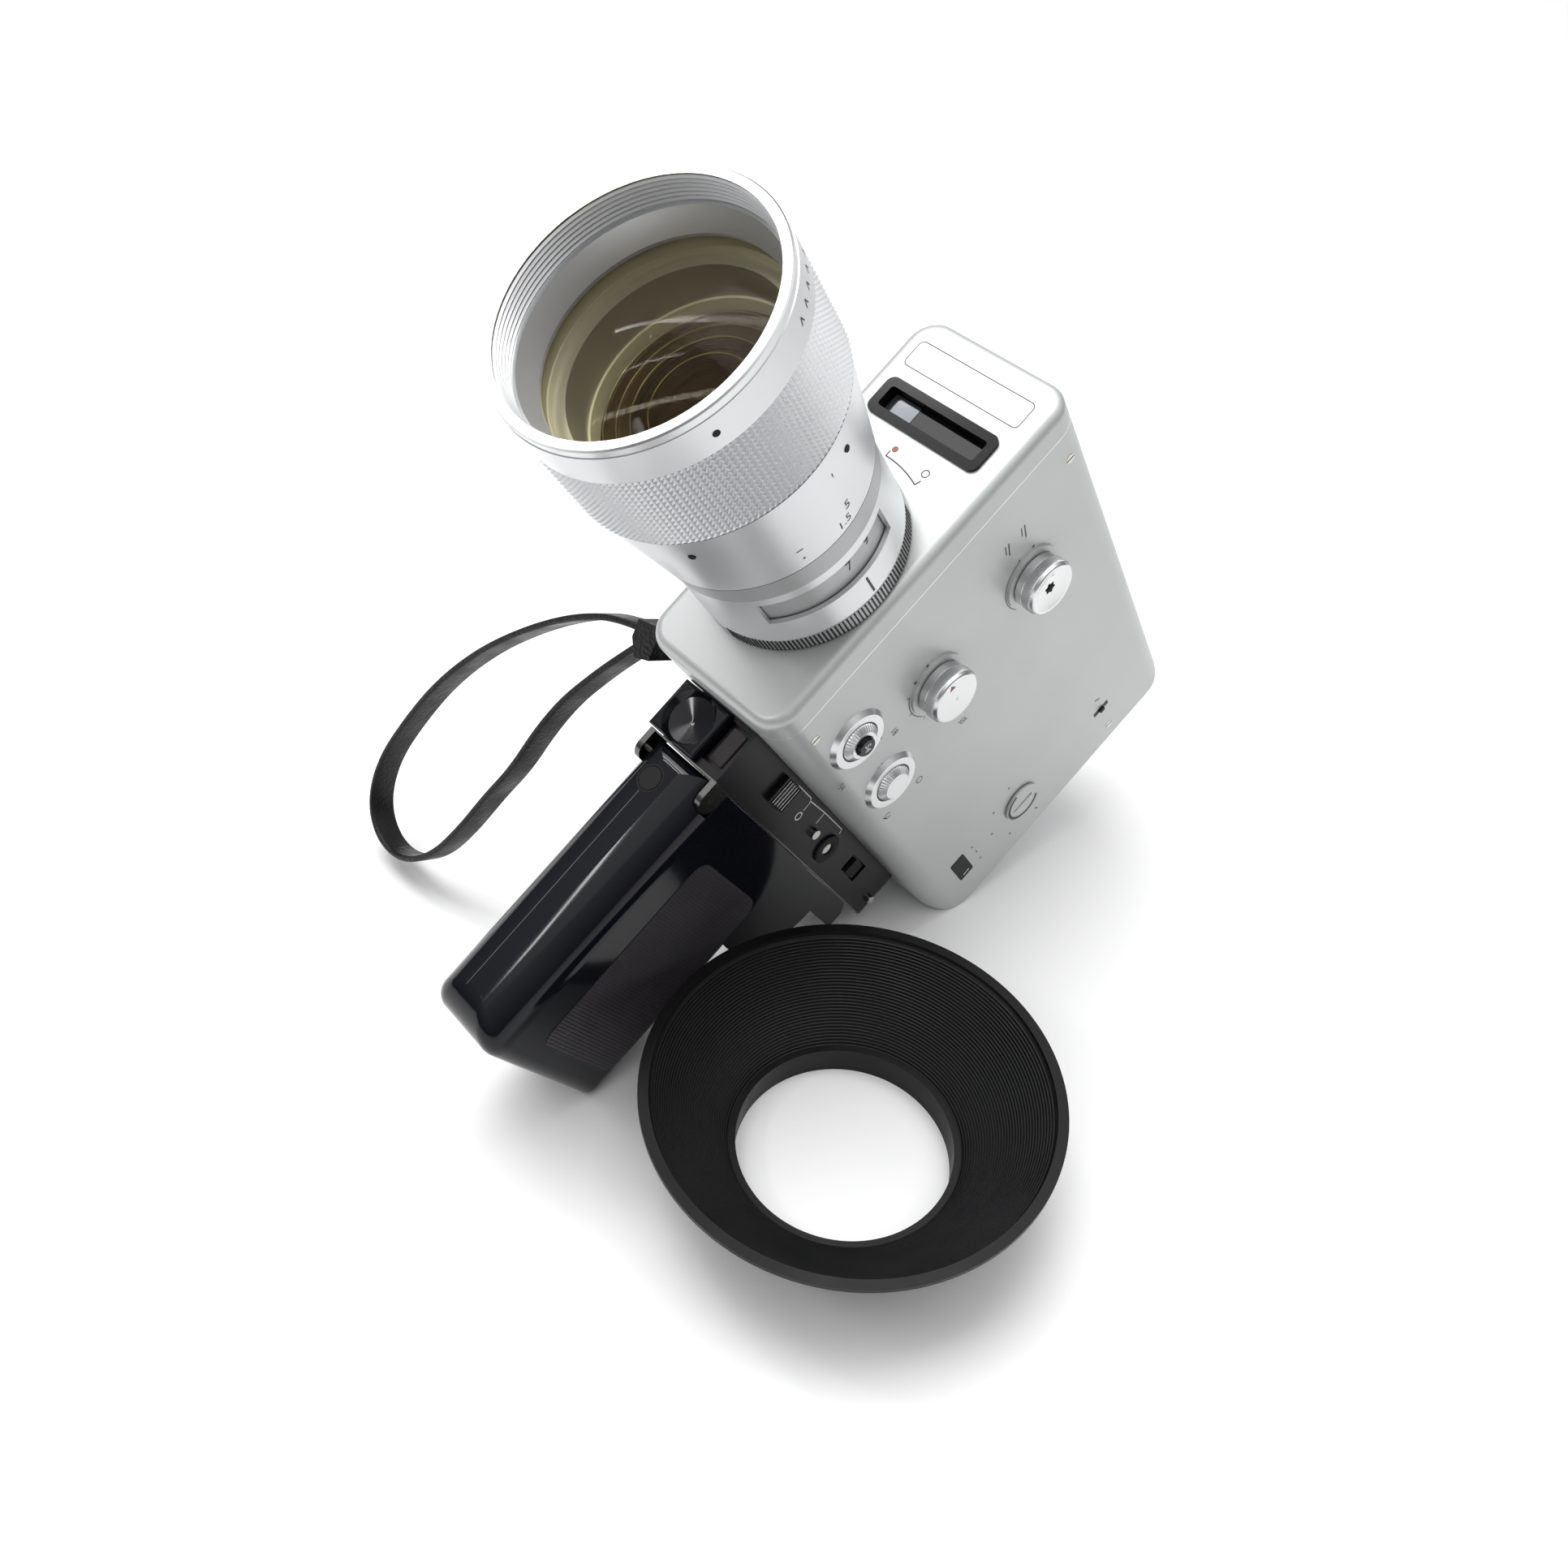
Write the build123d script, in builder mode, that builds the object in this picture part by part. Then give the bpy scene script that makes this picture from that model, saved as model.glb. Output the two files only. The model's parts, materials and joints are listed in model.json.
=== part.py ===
from build123d import *
import os
from math import asin, atan2, cos, degrees, hypot, radians, sin, tan

os.makedirs("parts", exist_ok=True)

# A cine camera with a long zoom lens and a folding battery grip, leaning on a table as it is laid
# down: on the rounded edge at the bottom of its back and on the heel of its grip. A conical lens
# hood lies beside it.
#
# Row frame: +Z up from the table top, the lens points forward (-Y) and up, +X is the controls side.
# Camera frame: x to the controls side, y up the body, z forward along the lens, with its origin on
# the lens axis at the back of the body. Every part of the camera is drawn in the camera frame.

# ---------------------------------------------------------------- driving dimensions, millimetres
# body, in the camera frame
LEFT, RIGHT = -22.8, 31.6
BOTTOM, TOP = -44.5, 74.3
DEPTH = 164.5
COVER_DEPTH = 8.7
CORNER = 8.5
BACK_TOP_ROUND, BACK_BOTTOM_ROUND = 12.0, 15.0
SKIN = 1.6

# grip and the block it folds on
GRIP_X, GRIP_HALF = 3.1, 14.2
GRIP_BACK, GRIP_FOOT = 81.0, -158.0
HEEL_ROUND = 4.0
BLOCK_BOTTOM = -61.5
BLOCK_BACK = 24.0
HINGE_Y, HINGE_Z, SHOULDER_R = -66.6, 143.6, 4.25
GRIP_TOP, GRIP_FRONT = HINGE_Y + SHOULDER_R, HINGE_Z + SHOULDER_R

# lens, as distances in front of the back of the body
FRONT_RIM = 267.0
RIM_R, THREAD_R = 36.0, 33.5
KNURL_START, KNURL_END, KNURL_R = 230.0, 255.5, 36.4
BARREL_START, BARREL_END = 192.8, 229.7
BARREL_SMALL_R, BARREL_LARGE_R = 30.2, 35.7
ZOOM_R = 29.8

# controls on the side
KNOB_Z, KNOB_R = 118.5, 8.7
EXPOSURE_Y, APERTURE_Y = 41.3, 0.5
SPEED_Y, SPEED_Z = -27.3, 131.5
FILTER_Y, FILTER_Z = -27.3, 101.3

# hood
HOOD_RIM_R, HOOD_HEIGHT = 60.3, 36.0

RUN = 0.05        # radial gap of a shaft that turns in its hole
GAP = 0.35        # gap between parts that move past each other

# ---------------------------------------------------------------- how the camera leans
# Both supports are rounded, so the lean is where their rounds touch one level plane.
back_y, back_z = BOTTOM + BACK_BOTTOM_ROUND, BACK_BOTTOM_ROUND
heel_y, heel_z = GRIP_FOOT + HEEL_ROUND, GRIP_BACK + HEEL_ROUND
span_y, span_z = back_y - heel_y, heel_z - back_z
LEAN = degrees(atan2(span_z, span_y) + asin((BACK_BOTTOM_ROUND - HEEL_ROUND) / hypot(span_y, span_z)))
up, ahead = sin(radians(LEAN)), cos(radians(LEAN))
AXIS_HEIGHT = BACK_BOTTOM_ROUND - (back_y * up + back_z * ahead)
AXIS_X, AXIS_Y = -51.95, 75.88
HOOD_X, HOOD_Y = AXIS_X + 80.0, AXIS_Y - 131.4

camera = Plane(origin=(AXIS_X, AXIS_Y, AXIS_HEIGHT), x_dir=(1, 0, 0), z_dir=(0, -up, ahead))
lens_axis = Axis(camera.origin, camera.z_dir)
camera_up = Axis(camera.origin, camera.y_dir)


def spot(x, y, z):
    """A point of the camera frame, in the row frame."""
    return camera.from_local_coords((x, y, z))


def across(z):
    """A plane square to the lens; sketches on it are drawn in x and y."""
    return camera.offset(z)


def beside(x):
    """A plane facing the controls side; sketches on it are drawn in y and z."""
    return Plane(origin=spot(x, 0, 0), x_dir=camera.y_dir, z_dir=camera.x_dir)


def above(y):
    """A plane facing the top of the body; sketches on it are drawn in z and x."""
    return Plane(origin=spot(0, y, 0), x_dir=camera.z_dir, z_dir=camera.y_dir)


def radial(angle=0.0):
    """A half plane through the lens axis; sketches on it are drawn in radius and z."""
    out = camera.x_dir * cos(radians(angle)) + camera.y_dir * sin(radians(angle))
    return Plane(origin=camera.origin, x_dir=out, z_dir=out.cross(camera.z_dir))


def turned(points):
    """Revolves a closed outline of (radius, z) points about the lens axis."""
    with BuildSketch(radial()) as profile:
        with BuildLine():
            Polyline(*points, close=True)
        make_face()
    revolve(profile.sketch, axis=lens_axis)


def rod(radius, low, high, plane, at=(0, 0), mode=Mode.ADD):
    """A round rod or hole from low to high off a plane."""
    with BuildSketch(plane.offset(low)) as profile:
        with Locations(at):
            Circle(radius)
    extrude(profile.sketch, amount=high - low, mode=mode)


def tube(outer, inner, low, high, plane, at=(0, 0)):
    """A plain tube from low to high off a plane."""
    with BuildSketch(plane.offset(low)) as profile:
        with Locations(at):
            Circle(outer)
            Circle(inner, mode=Mode.SUBTRACT)
    extrude(profile.sketch, amount=high - low)


def hole(radius, low, high, plane, at=(0, 0)):
    """A round hole from low to high off a plane."""
    rod(radius, low, high, plane, at, Mode.SUBTRACT)


def block(x_range, y_range, z_range, mode=Mode.ADD):
    """A rectangular block of the camera frame."""
    with BuildSketch(across(z_range[0])) as profile:
        with Locations(((x_range[0] + x_range[1]) / 2, (y_range[0] + y_range[1]) / 2)):
            Rectangle(x_range[1] - x_range[0], y_range[1] - y_range[0])
    extrude(profile.sketch, amount=z_range[1] - z_range[0], mode=mode)


def panel(width, height, corner, low, high, at, mode=Mode.ADD):
    """A plate square to the lens with rounded corners."""
    with BuildSketch(across(low)) as profile:
        with Locations(at):
            RectangleRounded(width, height, corner)
    extrude(profile.sketch, amount=high - low, mode=mode)


def keep(builder, node):
    """Labels a finished piece and writes it as one STEP file."""
    builder.part.label = node
    export_step(builder.part, f"parts/{node}.step")


# ---------------------------------------------------------------- body shells
WIDTH, HEIGHT = RIGHT - LEFT, TOP - BOTTOM
MID_X, MID_Y = (LEFT + RIGHT) / 2, (BOTTOM + TOP) / 2
SEAM = DEPTH - COVER_DEPTH
DOOR_LOW, DOOR_HIGH = -30.0, 52.0
DOOR_START, DOOR_END = 22.0, 148.0
LID_THICK, PIN_R, KNUCKLE_R = 2.0, 0.8, 2.0
PIN_INSET = 2.8
DOOR_PIN_X, DOOR_PIN_Z = LEFT + LID_THICK + 0.4, DOOR_END - PIN_INSET
MOUNT_HOLE_R = 17.0
WINDOW, WINDOW_W, WINDOW_H = (3.8, 47.6), 41.0, 12.0
NAMEPLATE, PLATE_W, PLATE_H = (3.8, 62.2), 42.8, 9.2
FINDER_X, FINDER_Y = 12.5, 47.6
SLOT_Y, SLOT_Z, SLOT_LONG, SLOT_WIDE = 44.5, 21.0, 7.0, 2.4
COUNTER_Y, COUNTER_Z = 3.0, 21.0
METER_Y, METER_Z, METER_H, METER_W = -27.0, 21.0, 6.4, 14.0
SCREWS = [(66.0, 145.5), (45.0, 7.5), (-36.0, 147.5)]
SCREW_R = 1.5
SPINDLE_R, SPEED_SLEEVE_R = 2.0, 4.0
SPINDLE_END = RIGHT - 2.6
TURNING_SPINDLES = [
    (EXPOSURE_Y, KNOB_Z), (APERTURE_Y, KNOB_Z), (FILTER_Y, FILTER_Z), (COUNTER_Y, COUNTER_Z),
]
FINDER_R = 7.0


def body_outline(inset, low, high, mode=Mode.ADD):
    """The rounded box of the body, drawn in by inset all round, from low to high along the lens."""
    panel(WIDTH - 2 * inset, HEIGHT - 2 * inset, CORNER - inset, low, high, (MID_X, MID_Y), mode)


def back_rounds(inset):
    """Cuts to the side view of the body, which rounds the top and bottom of the back."""
    low, high = BOTTOM + inset, TOP - inset
    bottom_r, top_r = BACK_BOTTOM_ROUND - inset, BACK_TOP_ROUND - inset
    with BuildSketch(beside(LEFT - 1)) as profile:
        with BuildLine():
            Line((low, SEAM), (low, inset + bottom_r))
            RadiusArc((low, inset + bottom_r), (low + bottom_r, inset), -bottom_r)
            Line((low + bottom_r, inset), (high - top_r, inset))
            RadiusArc((high - top_r, inset), (high, inset + top_r), -top_r)
            Line((high, inset + top_r), (high, SEAM))
            Line((high, SEAM), (low, SEAM))
        make_face()
    extrude(profile.sketch, amount=WIDTH + 2, mode=Mode.INTERSECT)


with BuildPart() as cavity:
    body_outline(SKIN, SKIN, SEAM)
    back_rounds(SKIN)

with BuildPart() as main_casing:
    body_outline(0, 0, SEAM)
    back_rounds(0)
    add(cavity.part, mode=Mode.SUBTRACT)
    # the opening of the film door
    block((LEFT - 1, LEFT + SKIN + 1), (DOOR_LOW, DOOR_HIGH), (DOOR_START, DOOR_END), Mode.SUBTRACT)
    # lugs that hold the hinge pin of the door
    for low in (DOOR_LOW - 2, DOOR_HIGH):
        block((LEFT + SKIN, LEFT + SKIN + 3), (low, low + 2), (DOOR_PIN_Z - 2, DOOR_PIN_Z + 2))
    hole(PIN_R, DOOR_LOW - 3, DOOR_HIGH + 3, above(0), (DOOR_PIN_Z, DOOR_PIN_X))
    # holes for the spindles of the knobs and dials, and the openings of the back and side
    for y, z in TURNING_SPINDLES:
        hole(SPINDLE_R + RUN, RIGHT - 3, RIGHT + 1, beside(0), (y, z))
    hole(SPEED_SLEEVE_R + RUN, RIGHT - 3, RIGHT + 1, beside(0), (SPEED_Y, SPEED_Z))
    for y, z in SCREWS:
        hole(SCREW_R, RIGHT - 3, RIGHT + 1, beside(0), (y, z))
    with BuildSketch(beside(RIGHT - 3)):
        with Locations((SLOT_Y, SLOT_Z)):
            Rectangle(SLOT_LONG, SLOT_WIDE)
        with Locations((METER_Y, METER_Z)):
            RectangleRounded(METER_H, METER_W, 0.8)
    extrude(amount=4, mode=Mode.SUBTRACT)
    hole(FINDER_R, -1, 3, camera, (FINDER_X, FINDER_Y))
keep(main_casing, "main_casing")

FRONT_ROUND = 3.0
with BuildPart() as front_cover:
    body_outline(0, SEAM, DEPTH)
    fillet(front_cover.faces().sort_by(lens_axis)[-1].edges(), FRONT_ROUND)
    body_outline(SKIN, SEAM - 1, DEPTH - 2.2, Mode.SUBTRACT)
    hole(MOUNT_HOLE_R, DEPTH - 5, DEPTH + 1, camera)
    panel(WINDOW_W - 2, WINDOW_H - 2, 2.0, DEPTH - 5, DEPTH + 1, WINDOW, Mode.SUBTRACT)
    # the shallow field that the nameplate is set in
    panel(PLATE_W + 0.1, PLATE_H + 0.1, 2.25, DEPTH - 0.4, DEPTH + 1, NAMEPLATE, Mode.SUBTRACT)
keep(front_cover, "front_cover")

with BuildPart() as nameplate:
    panel(PLATE_W, PLATE_H, 2.2, DEPTH - 0.4, DEPTH + 0.1, NAMEPLATE)
keep(nameplate, "nameplate")

with BuildPart() as window_bezel:
    panel(WINDOW_W, WINDOW_H, 2.6, DEPTH, DEPTH + 0.8, WINDOW)
    panel(WINDOW_W - 2.1, WINDOW_H - 2.1, 1.95, DEPTH - 6, DEPTH, WINDOW)
    panel(WINDOW_W - 5.4, WINDOW_H - 5.4, 1.0, DEPTH - 7, DEPTH + 1, WINDOW, Mode.SUBTRACT)
keep(window_bezel, "window_bezel")

with BuildPart() as windows:
    panel(WINDOW_W - 5.5, WINDOW_H - 5.5, 0.95, DEPTH - 4.2, DEPTH - 2.6, WINDOW)
    with BuildSketch(beside(RIGHT - SKIN)):
        with Locations((METER_Y, METER_Z)):
            RectangleRounded(METER_H - 0.05, METER_W - 0.05, 0.78)
    extrude(amount=SKIN - 0.4)
keep(windows, "windows")

# ---------------------------------------------------------------- lids on the left side


def hinged_lid(node, x, y_range, z_free, z_pin, pinned):
    """A flat lid with a full-length knuckle along its hinge edge, bored for a pin or with stubs."""
    pin_x = x + LID_THICK + 0.4
    inner = (y_range[0] + GAP, y_range[1] - GAP)
    with BuildPart() as lid:
        block((x, x + LID_THICK), inner, (min(z_free, z_pin), max(z_free, z_pin)))
        rod(KNUCKLE_R, inner[0], inner[1], above(0), (z_pin, pin_x))
        if pinned:
            hole(PIN_R + RUN, inner[0] - 1, inner[1] + 1, above(0), (z_pin, pin_x))
        else:
            rod(PIN_R, y_range[0] - 1.8, y_range[1] + 1.8, above(0), (z_pin, pin_x))
    keep(lid, node)


hinged_lid("film_door", LEFT, (DOOR_LOW, DOOR_HIGH), DOOR_START + GAP, DOOR_PIN_Z, True)

with BuildPart() as film_door_pin:
    rod(PIN_R, DOOR_LOW - 2, DOOR_HIGH + 2, above(0), (DOOR_PIN_Z, DOOR_PIN_X))
keep(film_door_pin, "film_door_pin")

# ---------------------------------------------------------------- inside the body
PLATE_X, PLATE_THICK = 3.0, 2.0
PLATE_FRONT = 115.0
SHUTTER_X, SHUTTER_Y, SHUTTER_Z, SHUTTER_R = 4.4, -17.5, 127.0, 22.0
SHAFT_R, MOTOR_SHAFT_R = 2.0, 1.0
GEAR_Z, GEAR_THICK, MODULE = 118.2, 2.6, 1.0
WHEEL_TEETH, PINION_TEETH = 20, 12
MOTOR_X = SHUTTER_X + (WHEEL_TEETH + PINION_TEETH) * MODULE / 2 + 0.1
MOTOR_R = 9.0
MOTOR_BACK = 76.0
DRIVE_Y, DRIVE_Z = 24.0, 80.0
with BuildPart() as chassis_plate:
    block((PLATE_X, PLATE_X + PLATE_THICK), (BOTTOM + SKIN, TOP - SKIN), (16, PLATE_FRONT))
    block((PLATE_X, PLATE_X + PLATE_THICK), (26, TOP - SKIN), (PLATE_FRONT, SEAM - 1))
    # cross plate that carries the motor and the shutter
    block((PLATE_X - 5.5, RIGHT - SKIN), (-35.5, -2), (PLATE_FRONT, PLATE_FRONT + 2))
    hole(2.5 + RUN, PLATE_X - 1, PLATE_X + 3, beside(0), (DRIVE_Y, DRIVE_Z))
    hole(SHAFT_R + RUN, PLATE_FRONT - 4, PLATE_FRONT + 3, camera, (SHUTTER_X, SHUTTER_Y))
    hole(MOTOR_SHAFT_R + RUN, PLATE_FRONT - 1, PLATE_FRONT + 3, camera, (MOTOR_X, SHUTTER_Y))
keep(chassis_plate, "chassis_plate")

with BuildPart() as film_gate:
    block((-16, PLATE_X + PLATE_THICK), (-5.5, 16), (PLATE_FRONT + 2.1, 121))
    block((-9, 2), (-5.5, 9), (121, 124))
    block((-2.9, 2.9), (-2.1, 2.1), (PLATE_FRONT, 125), Mode.SUBTRACT)
keep(film_gate, "film_gate")

with BuildPart() as shutter:
    rod(SHUTTER_R, SHUTTER_Z - 0.4, SHUTTER_Z + 0.4, camera, (SHUTTER_X, SHUTTER_Y))
    with BuildSketch(across(SHUTTER_Z - 1)):
        with Locations((SHUTTER_X, SHUTTER_Y)):
            Polygon((0, 0), (36, -24), (36, 24), align=None)
            Circle(6, mode=Mode.SUBTRACT)
    extrude(amount=2, mode=Mode.SUBTRACT)
    rod(SHAFT_R, PLATE_FRONT - 3.5, SHUTTER_Z + 3, camera, (SHUTTER_X, SHUTTER_Y))
keep(shutter, "shutter")


def gear(teeth, at, bore, turn):
    """A spur gear with straight-sided teeth, eased so that a pair runs with backlash."""
    pitch_r = teeth * MODULE / 2
    root_r, tip_r = pitch_r - 1.2 * MODULE, pitch_r + 0.8 * MODULE
    tooth = [(root_r - 0.5, -0.85), (tip_r, -0.28), (tip_r, 0.28), (root_r - 0.5, 0.85)]
    with BuildSketch(across(GEAR_Z)) as profile:
        with Locations(Location((at[0], at[1], 0), (0, 0, turn))):
            Circle(root_r)
            with PolarLocations(0, teeth):
                Polygon(*tooth, align=None)
            Circle(bore, mode=Mode.SUBTRACT)
    extrude(profile.sketch, amount=GEAR_THICK)


with BuildPart() as shutter_wheel:
    gear(WHEEL_TEETH, (SHUTTER_X, SHUTTER_Y), SHAFT_R, 0)
keep(shutter_wheel, "shutter_wheel")

with BuildPart() as motor_pinion:
    gear(PINION_TEETH, (MOTOR_X, SHUTTER_Y), MOTOR_SHAFT_R, 180 / PINION_TEETH)
    rod(MOTOR_SHAFT_R, MOTOR_BACK + 4, GEAR_Z + GEAR_THICK + 0.5, camera, (MOTOR_X, SHUTTER_Y))
keep(motor_pinion, "motor_pinion")

with BuildPart() as drive_motor:
    rod(MOTOR_R, MOTOR_BACK, PLATE_FRONT, camera, (MOTOR_X, SHUTTER_Y))
    rod(3.0, MOTOR_BACK - 2, MOTOR_BACK, camera, (MOTOR_X, SHUTTER_Y))
    hole(MOTOR_SHAFT_R + RUN, MOTOR_BACK + 3.5, PLATE_FRONT, camera, (MOTOR_X, SHUTTER_Y))
keep(drive_motor, "drive_motor")

with BuildPart() as film_spindle:
    rod(2.5, PLATE_X - 5, PLATE_X + 4.5, beside(0), (DRIVE_Y, DRIVE_Z))
    rod(4.5, PLATE_X + 2.4, PLATE_X + 5, beside(0), (DRIVE_Y, DRIVE_Z))
    block((PLATE_X - 5, PLATE_X - 1), (DRIVE_Y - 3.4, DRIVE_Y + 3.4), (DRIVE_Z - 0.6, DRIVE_Z + 0.6))
keep(film_spindle, "film_spindle")

CHIPS = [(4, 44, 12), (18, 60, 10), (34, 42, 8), (46, 76, 12)]
with BuildPart() as circuit_board:
    block((24.0, 25.6), (-6, 60), (30, 96))
    for y, z, wide in CHIPS:
        block((22.0, 24.0), (y - wide / 2, y + wide / 2), (z - 4, z + 4))
keep(circuit_board, "circuit_board")

EYE_BACK = -9.0
with BuildPart() as finder_tube:
    tube(FINDER_R, 5.8, -3.0, DEPTH - 8, camera, (FINDER_X, FINDER_Y))
keep(finder_tube, "finder_tube")

with BuildPart() as diopter_ring:
    tube(9.5, FINDER_R + RUN, -4.5, -GAP, camera, (FINDER_X, FINDER_Y))
    with BuildSketch(across(-4.5)):
        with Locations((FINDER_X, FINDER_Y)):
            with PolarLocations(9.5, 24):
                Circle(0.35)
    extrude(amount=4.15, mode=Mode.SUBTRACT)
keep(diopter_ring, "diopter_ring")

with BuildPart() as eyecup:
    tube(FINDER_R, 5.2, -6.0, -3.0, camera, (FINDER_X, FINDER_Y))
    rod(8.4, -6.0, -4.9, camera, (FINDER_X, FINDER_Y))
    with BuildSketch(across(-6.0)):
        with Locations((FINDER_X, FINDER_Y)):
            Circle(8.4)
    extrude(amount=EYE_BACK + 6.0, taper=-35)
    with BuildSketch(across(EYE_BACK)):
        with Locations((FINDER_X, FINDER_Y)):
            Circle(8.2)
    extrude(amount=4.0, taper=37, mode=Mode.SUBTRACT)
    hole(5.2, -6.5, -2.0, camera, (FINDER_X, FINDER_Y))
keep(eyecup, "eyecup")

# ---------------------------------------------------------------- controls on the side
BASE_THICK = 1.0
KNOB_FACE = RIGHT + 8.0


with BuildPart() as knob_scales:
    for y in (EXPOSURE_Y, APERTURE_Y):
        tube(KNOB_R + 1.5, SPINDLE_R + GAP, RIGHT, RIGHT + BASE_THICK, beside(0), (y, KNOB_Z))
keep(knob_scales, "knob_scales")


def knob(node, y, z, dished):
    """A turned knob on a spindle."""
    with BuildPart() as cap:
        rod(KNOB_R, RIGHT + BASE_THICK + GAP, KNOB_FACE, beside(0), (y, z))
        chamfer(cap.faces().sort_by(Axis.X)[-1].edges(), 0.5)
        if dished:
            with BuildSketch(beside(KNOB_FACE)):
                with Locations((y, z)):
                    Circle(KNOB_R - 1.3)
            extrude(amount=-0.9, taper=40, mode=Mode.SUBTRACT)
            hole(1.7, KNOB_FACE - 3.0, KNOB_FACE, beside(0), (y, z))
        rod(SPINDLE_R, SPINDLE_END, RIGHT + BASE_THICK + GAP, beside(0), (y, z))
    keep(cap, node)


knob("exposure_knob", EXPOSURE_Y, KNOB_Z, True)
knob("aperture_knob", APERTURE_Y, KNOB_Z, False)

DIAL_R, DIAL_CAP_R, DIAL_FACE = 10.0, 6.2, 3.2
SPEED_BUTTON_R = 3.0


with BuildPart() as dial_plates:
    # polished cones that the two dials are sunk in
    for y, z in ((SPEED_Y, SPEED_Z), (FILTER_Y, FILTER_Z)):
        with BuildSketch(beside(RIGHT)):
            with Locations((y, z)):
                Circle(DIAL_R)
        extrude(amount=1.4, taper=40)
        hole(DIAL_CAP_R + GAP, RIGHT - 1, RIGHT + 2, beside(0), (y, z))
keep(dial_plates, "dial_plates")

with BuildPart() as speed_dial:
    rod(DIAL_CAP_R, RIGHT + GAP, RIGHT + DIAL_FACE, beside(0), (SPEED_Y, SPEED_Z))
    chamfer(speed_dial.faces().sort_by(Axis.X)[-1].edges(), 0.8)
    rod(SPEED_SLEEVE_R, SPINDLE_END, RIGHT + GAP, beside(0), (SPEED_Y, SPEED_Z))
    hole(SPEED_BUTTON_R + RUN, SPINDLE_END - 1, RIGHT + DIAL_FACE + 1, beside(0), (SPEED_Y, SPEED_Z))
keep(speed_dial, "speed_dial")

with BuildPart() as speed_button:
    rod(SPEED_BUTTON_R, RIGHT - 6, RIGHT + DIAL_FACE + 1.2, beside(0), (SPEED_Y, SPEED_Z))
    chamfer(speed_button.faces().sort_by(Axis.X)[-1].edges(), 0.3)
keep(speed_button, "speed_button")

with BuildPart() as filter_dial:
    rod(DIAL_CAP_R, RIGHT + GAP, RIGHT + DIAL_FACE, beside(0), (FILTER_Y, FILTER_Z))
    chamfer(filter_dial.faces().sort_by(Axis.X)[-1].edges(), 0.8)
    rod(SPINDLE_R, SPINDLE_END, RIGHT + GAP, beside(0), (FILTER_Y, FILTER_Z))
keep(filter_dial, "filter_dial")

with BuildPart() as counter_dial:
    rod(7.4, RIGHT + GAP, RIGHT + 1.1, beside(0), (COUNTER_Y, COUNTER_Z))
    with BuildSketch(beside(RIGHT + 1.1)):
        with Locations((COUNTER_Y, COUNTER_Z)):
            SlotOverall(9.0, 1.2)
    extrude(amount=-0.4, mode=Mode.SUBTRACT)
    rod(SPINDLE_R, SPINDLE_END, RIGHT + GAP, beside(0), (COUNTER_Y, COUNTER_Z))
keep(counter_dial, "counter_dial")

with BuildPart() as slot_slider:
    block((RIGHT - 4, RIGHT + 0.9), (SLOT_Y - 1.0, SLOT_Y + 1.0), (SLOT_Z - 0.8, SLOT_Z + 0.8))
    block((RIGHT - 4.4, RIGHT - SKIN - GAP), (SLOT_Y - 3, SLOT_Y + 3), (SLOT_Z - 2.6, SLOT_Z + 2.6))
keep(slot_slider, "slot_slider")

with BuildPart() as casing_screws:
    for y, z in SCREWS:
        rod(SCREW_R, RIGHT - SKIN, RIGHT + 0.1, beside(0), (y, z))
        block((RIGHT - 0.5, RIGHT + 1), (y - 2, y + 2), (z - 0.22, z + 0.22), Mode.SUBTRACT)
keep(casing_screws, "casing_screws")

# ---------------------------------------------------------------- lens
FLANGE_BACK, FLANGE_R = DEPTH - 7.0, 20.0
INNER_TUBE_R, INNER_BORE_R = 24.6, 22.4
TUBE_END = 244.0
REAR_GLASS_R, REAR_GLASS_Z = 11.0, 172.0
SEATS = [(222.0, 20.5), (200.0, 15.0)]
with BuildPart() as lens_tube:
    # mounting flange behind the front cover, then the fixed tube that the rings turn on
    turned([
        (14.0, FLANGE_BACK), (FLANGE_R, FLANGE_BACK), (FLANGE_R, DEPTH - 2.3), (MOUNT_HOLE_R, DEPTH - 2.3),
        (MOUNT_HOLE_R, DEPTH + 0.1), (INNER_TUBE_R, DEPTH + 0.1), (INNER_TUBE_R, TUBE_END),
        (INNER_BORE_R, TUBE_END), (INNER_BORE_R, REAR_GLASS_Z + 4), (REAR_GLASS_R, REAR_GLASS_Z + 4),
        (REAR_GLASS_R, REAR_GLASS_Z), (9.0, REAR_GLASS_Z), (9.0, REAR_GLASS_Z - 4), (14.0, REAR_GLASS_Z - 4),
    ])
    # seats of the inner glasses
    for low, opening in SEATS:
        tube(INNER_BORE_R + 0.5, opening, low, low + 4.0, camera)
keep(lens_tube, "lens_tube")

ZOOM_LOW, ZOOM_HIGH = DEPTH + 0.5, 170.6
SLEEVE_R, SLEEVE_BORE_R = 30.0, 28.7
SLEEVE_LOW, SLEEVE_HIGH = 171.0, 192.3
with BuildPart() as zoom_ring:
    tube(ZOOM_R, INNER_TUBE_R + RUN, ZOOM_LOW, ZOOM_HIGH, camera)
    chamfer(zoom_ring.edges().filter_by(GeomType.CIRCLE).group_by(SortBy.RADIUS)[-1], 0.4)
    # the sleeve with the focal lengths, seen through the window of the outer sleeve
    tube(SLEEVE_BORE_R - GAP, INNER_TUBE_R + RUN, ZOOM_HIGH, SLEEVE_HIGH - 2.6, camera)
keep(zoom_ring, "zoom_ring")

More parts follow.
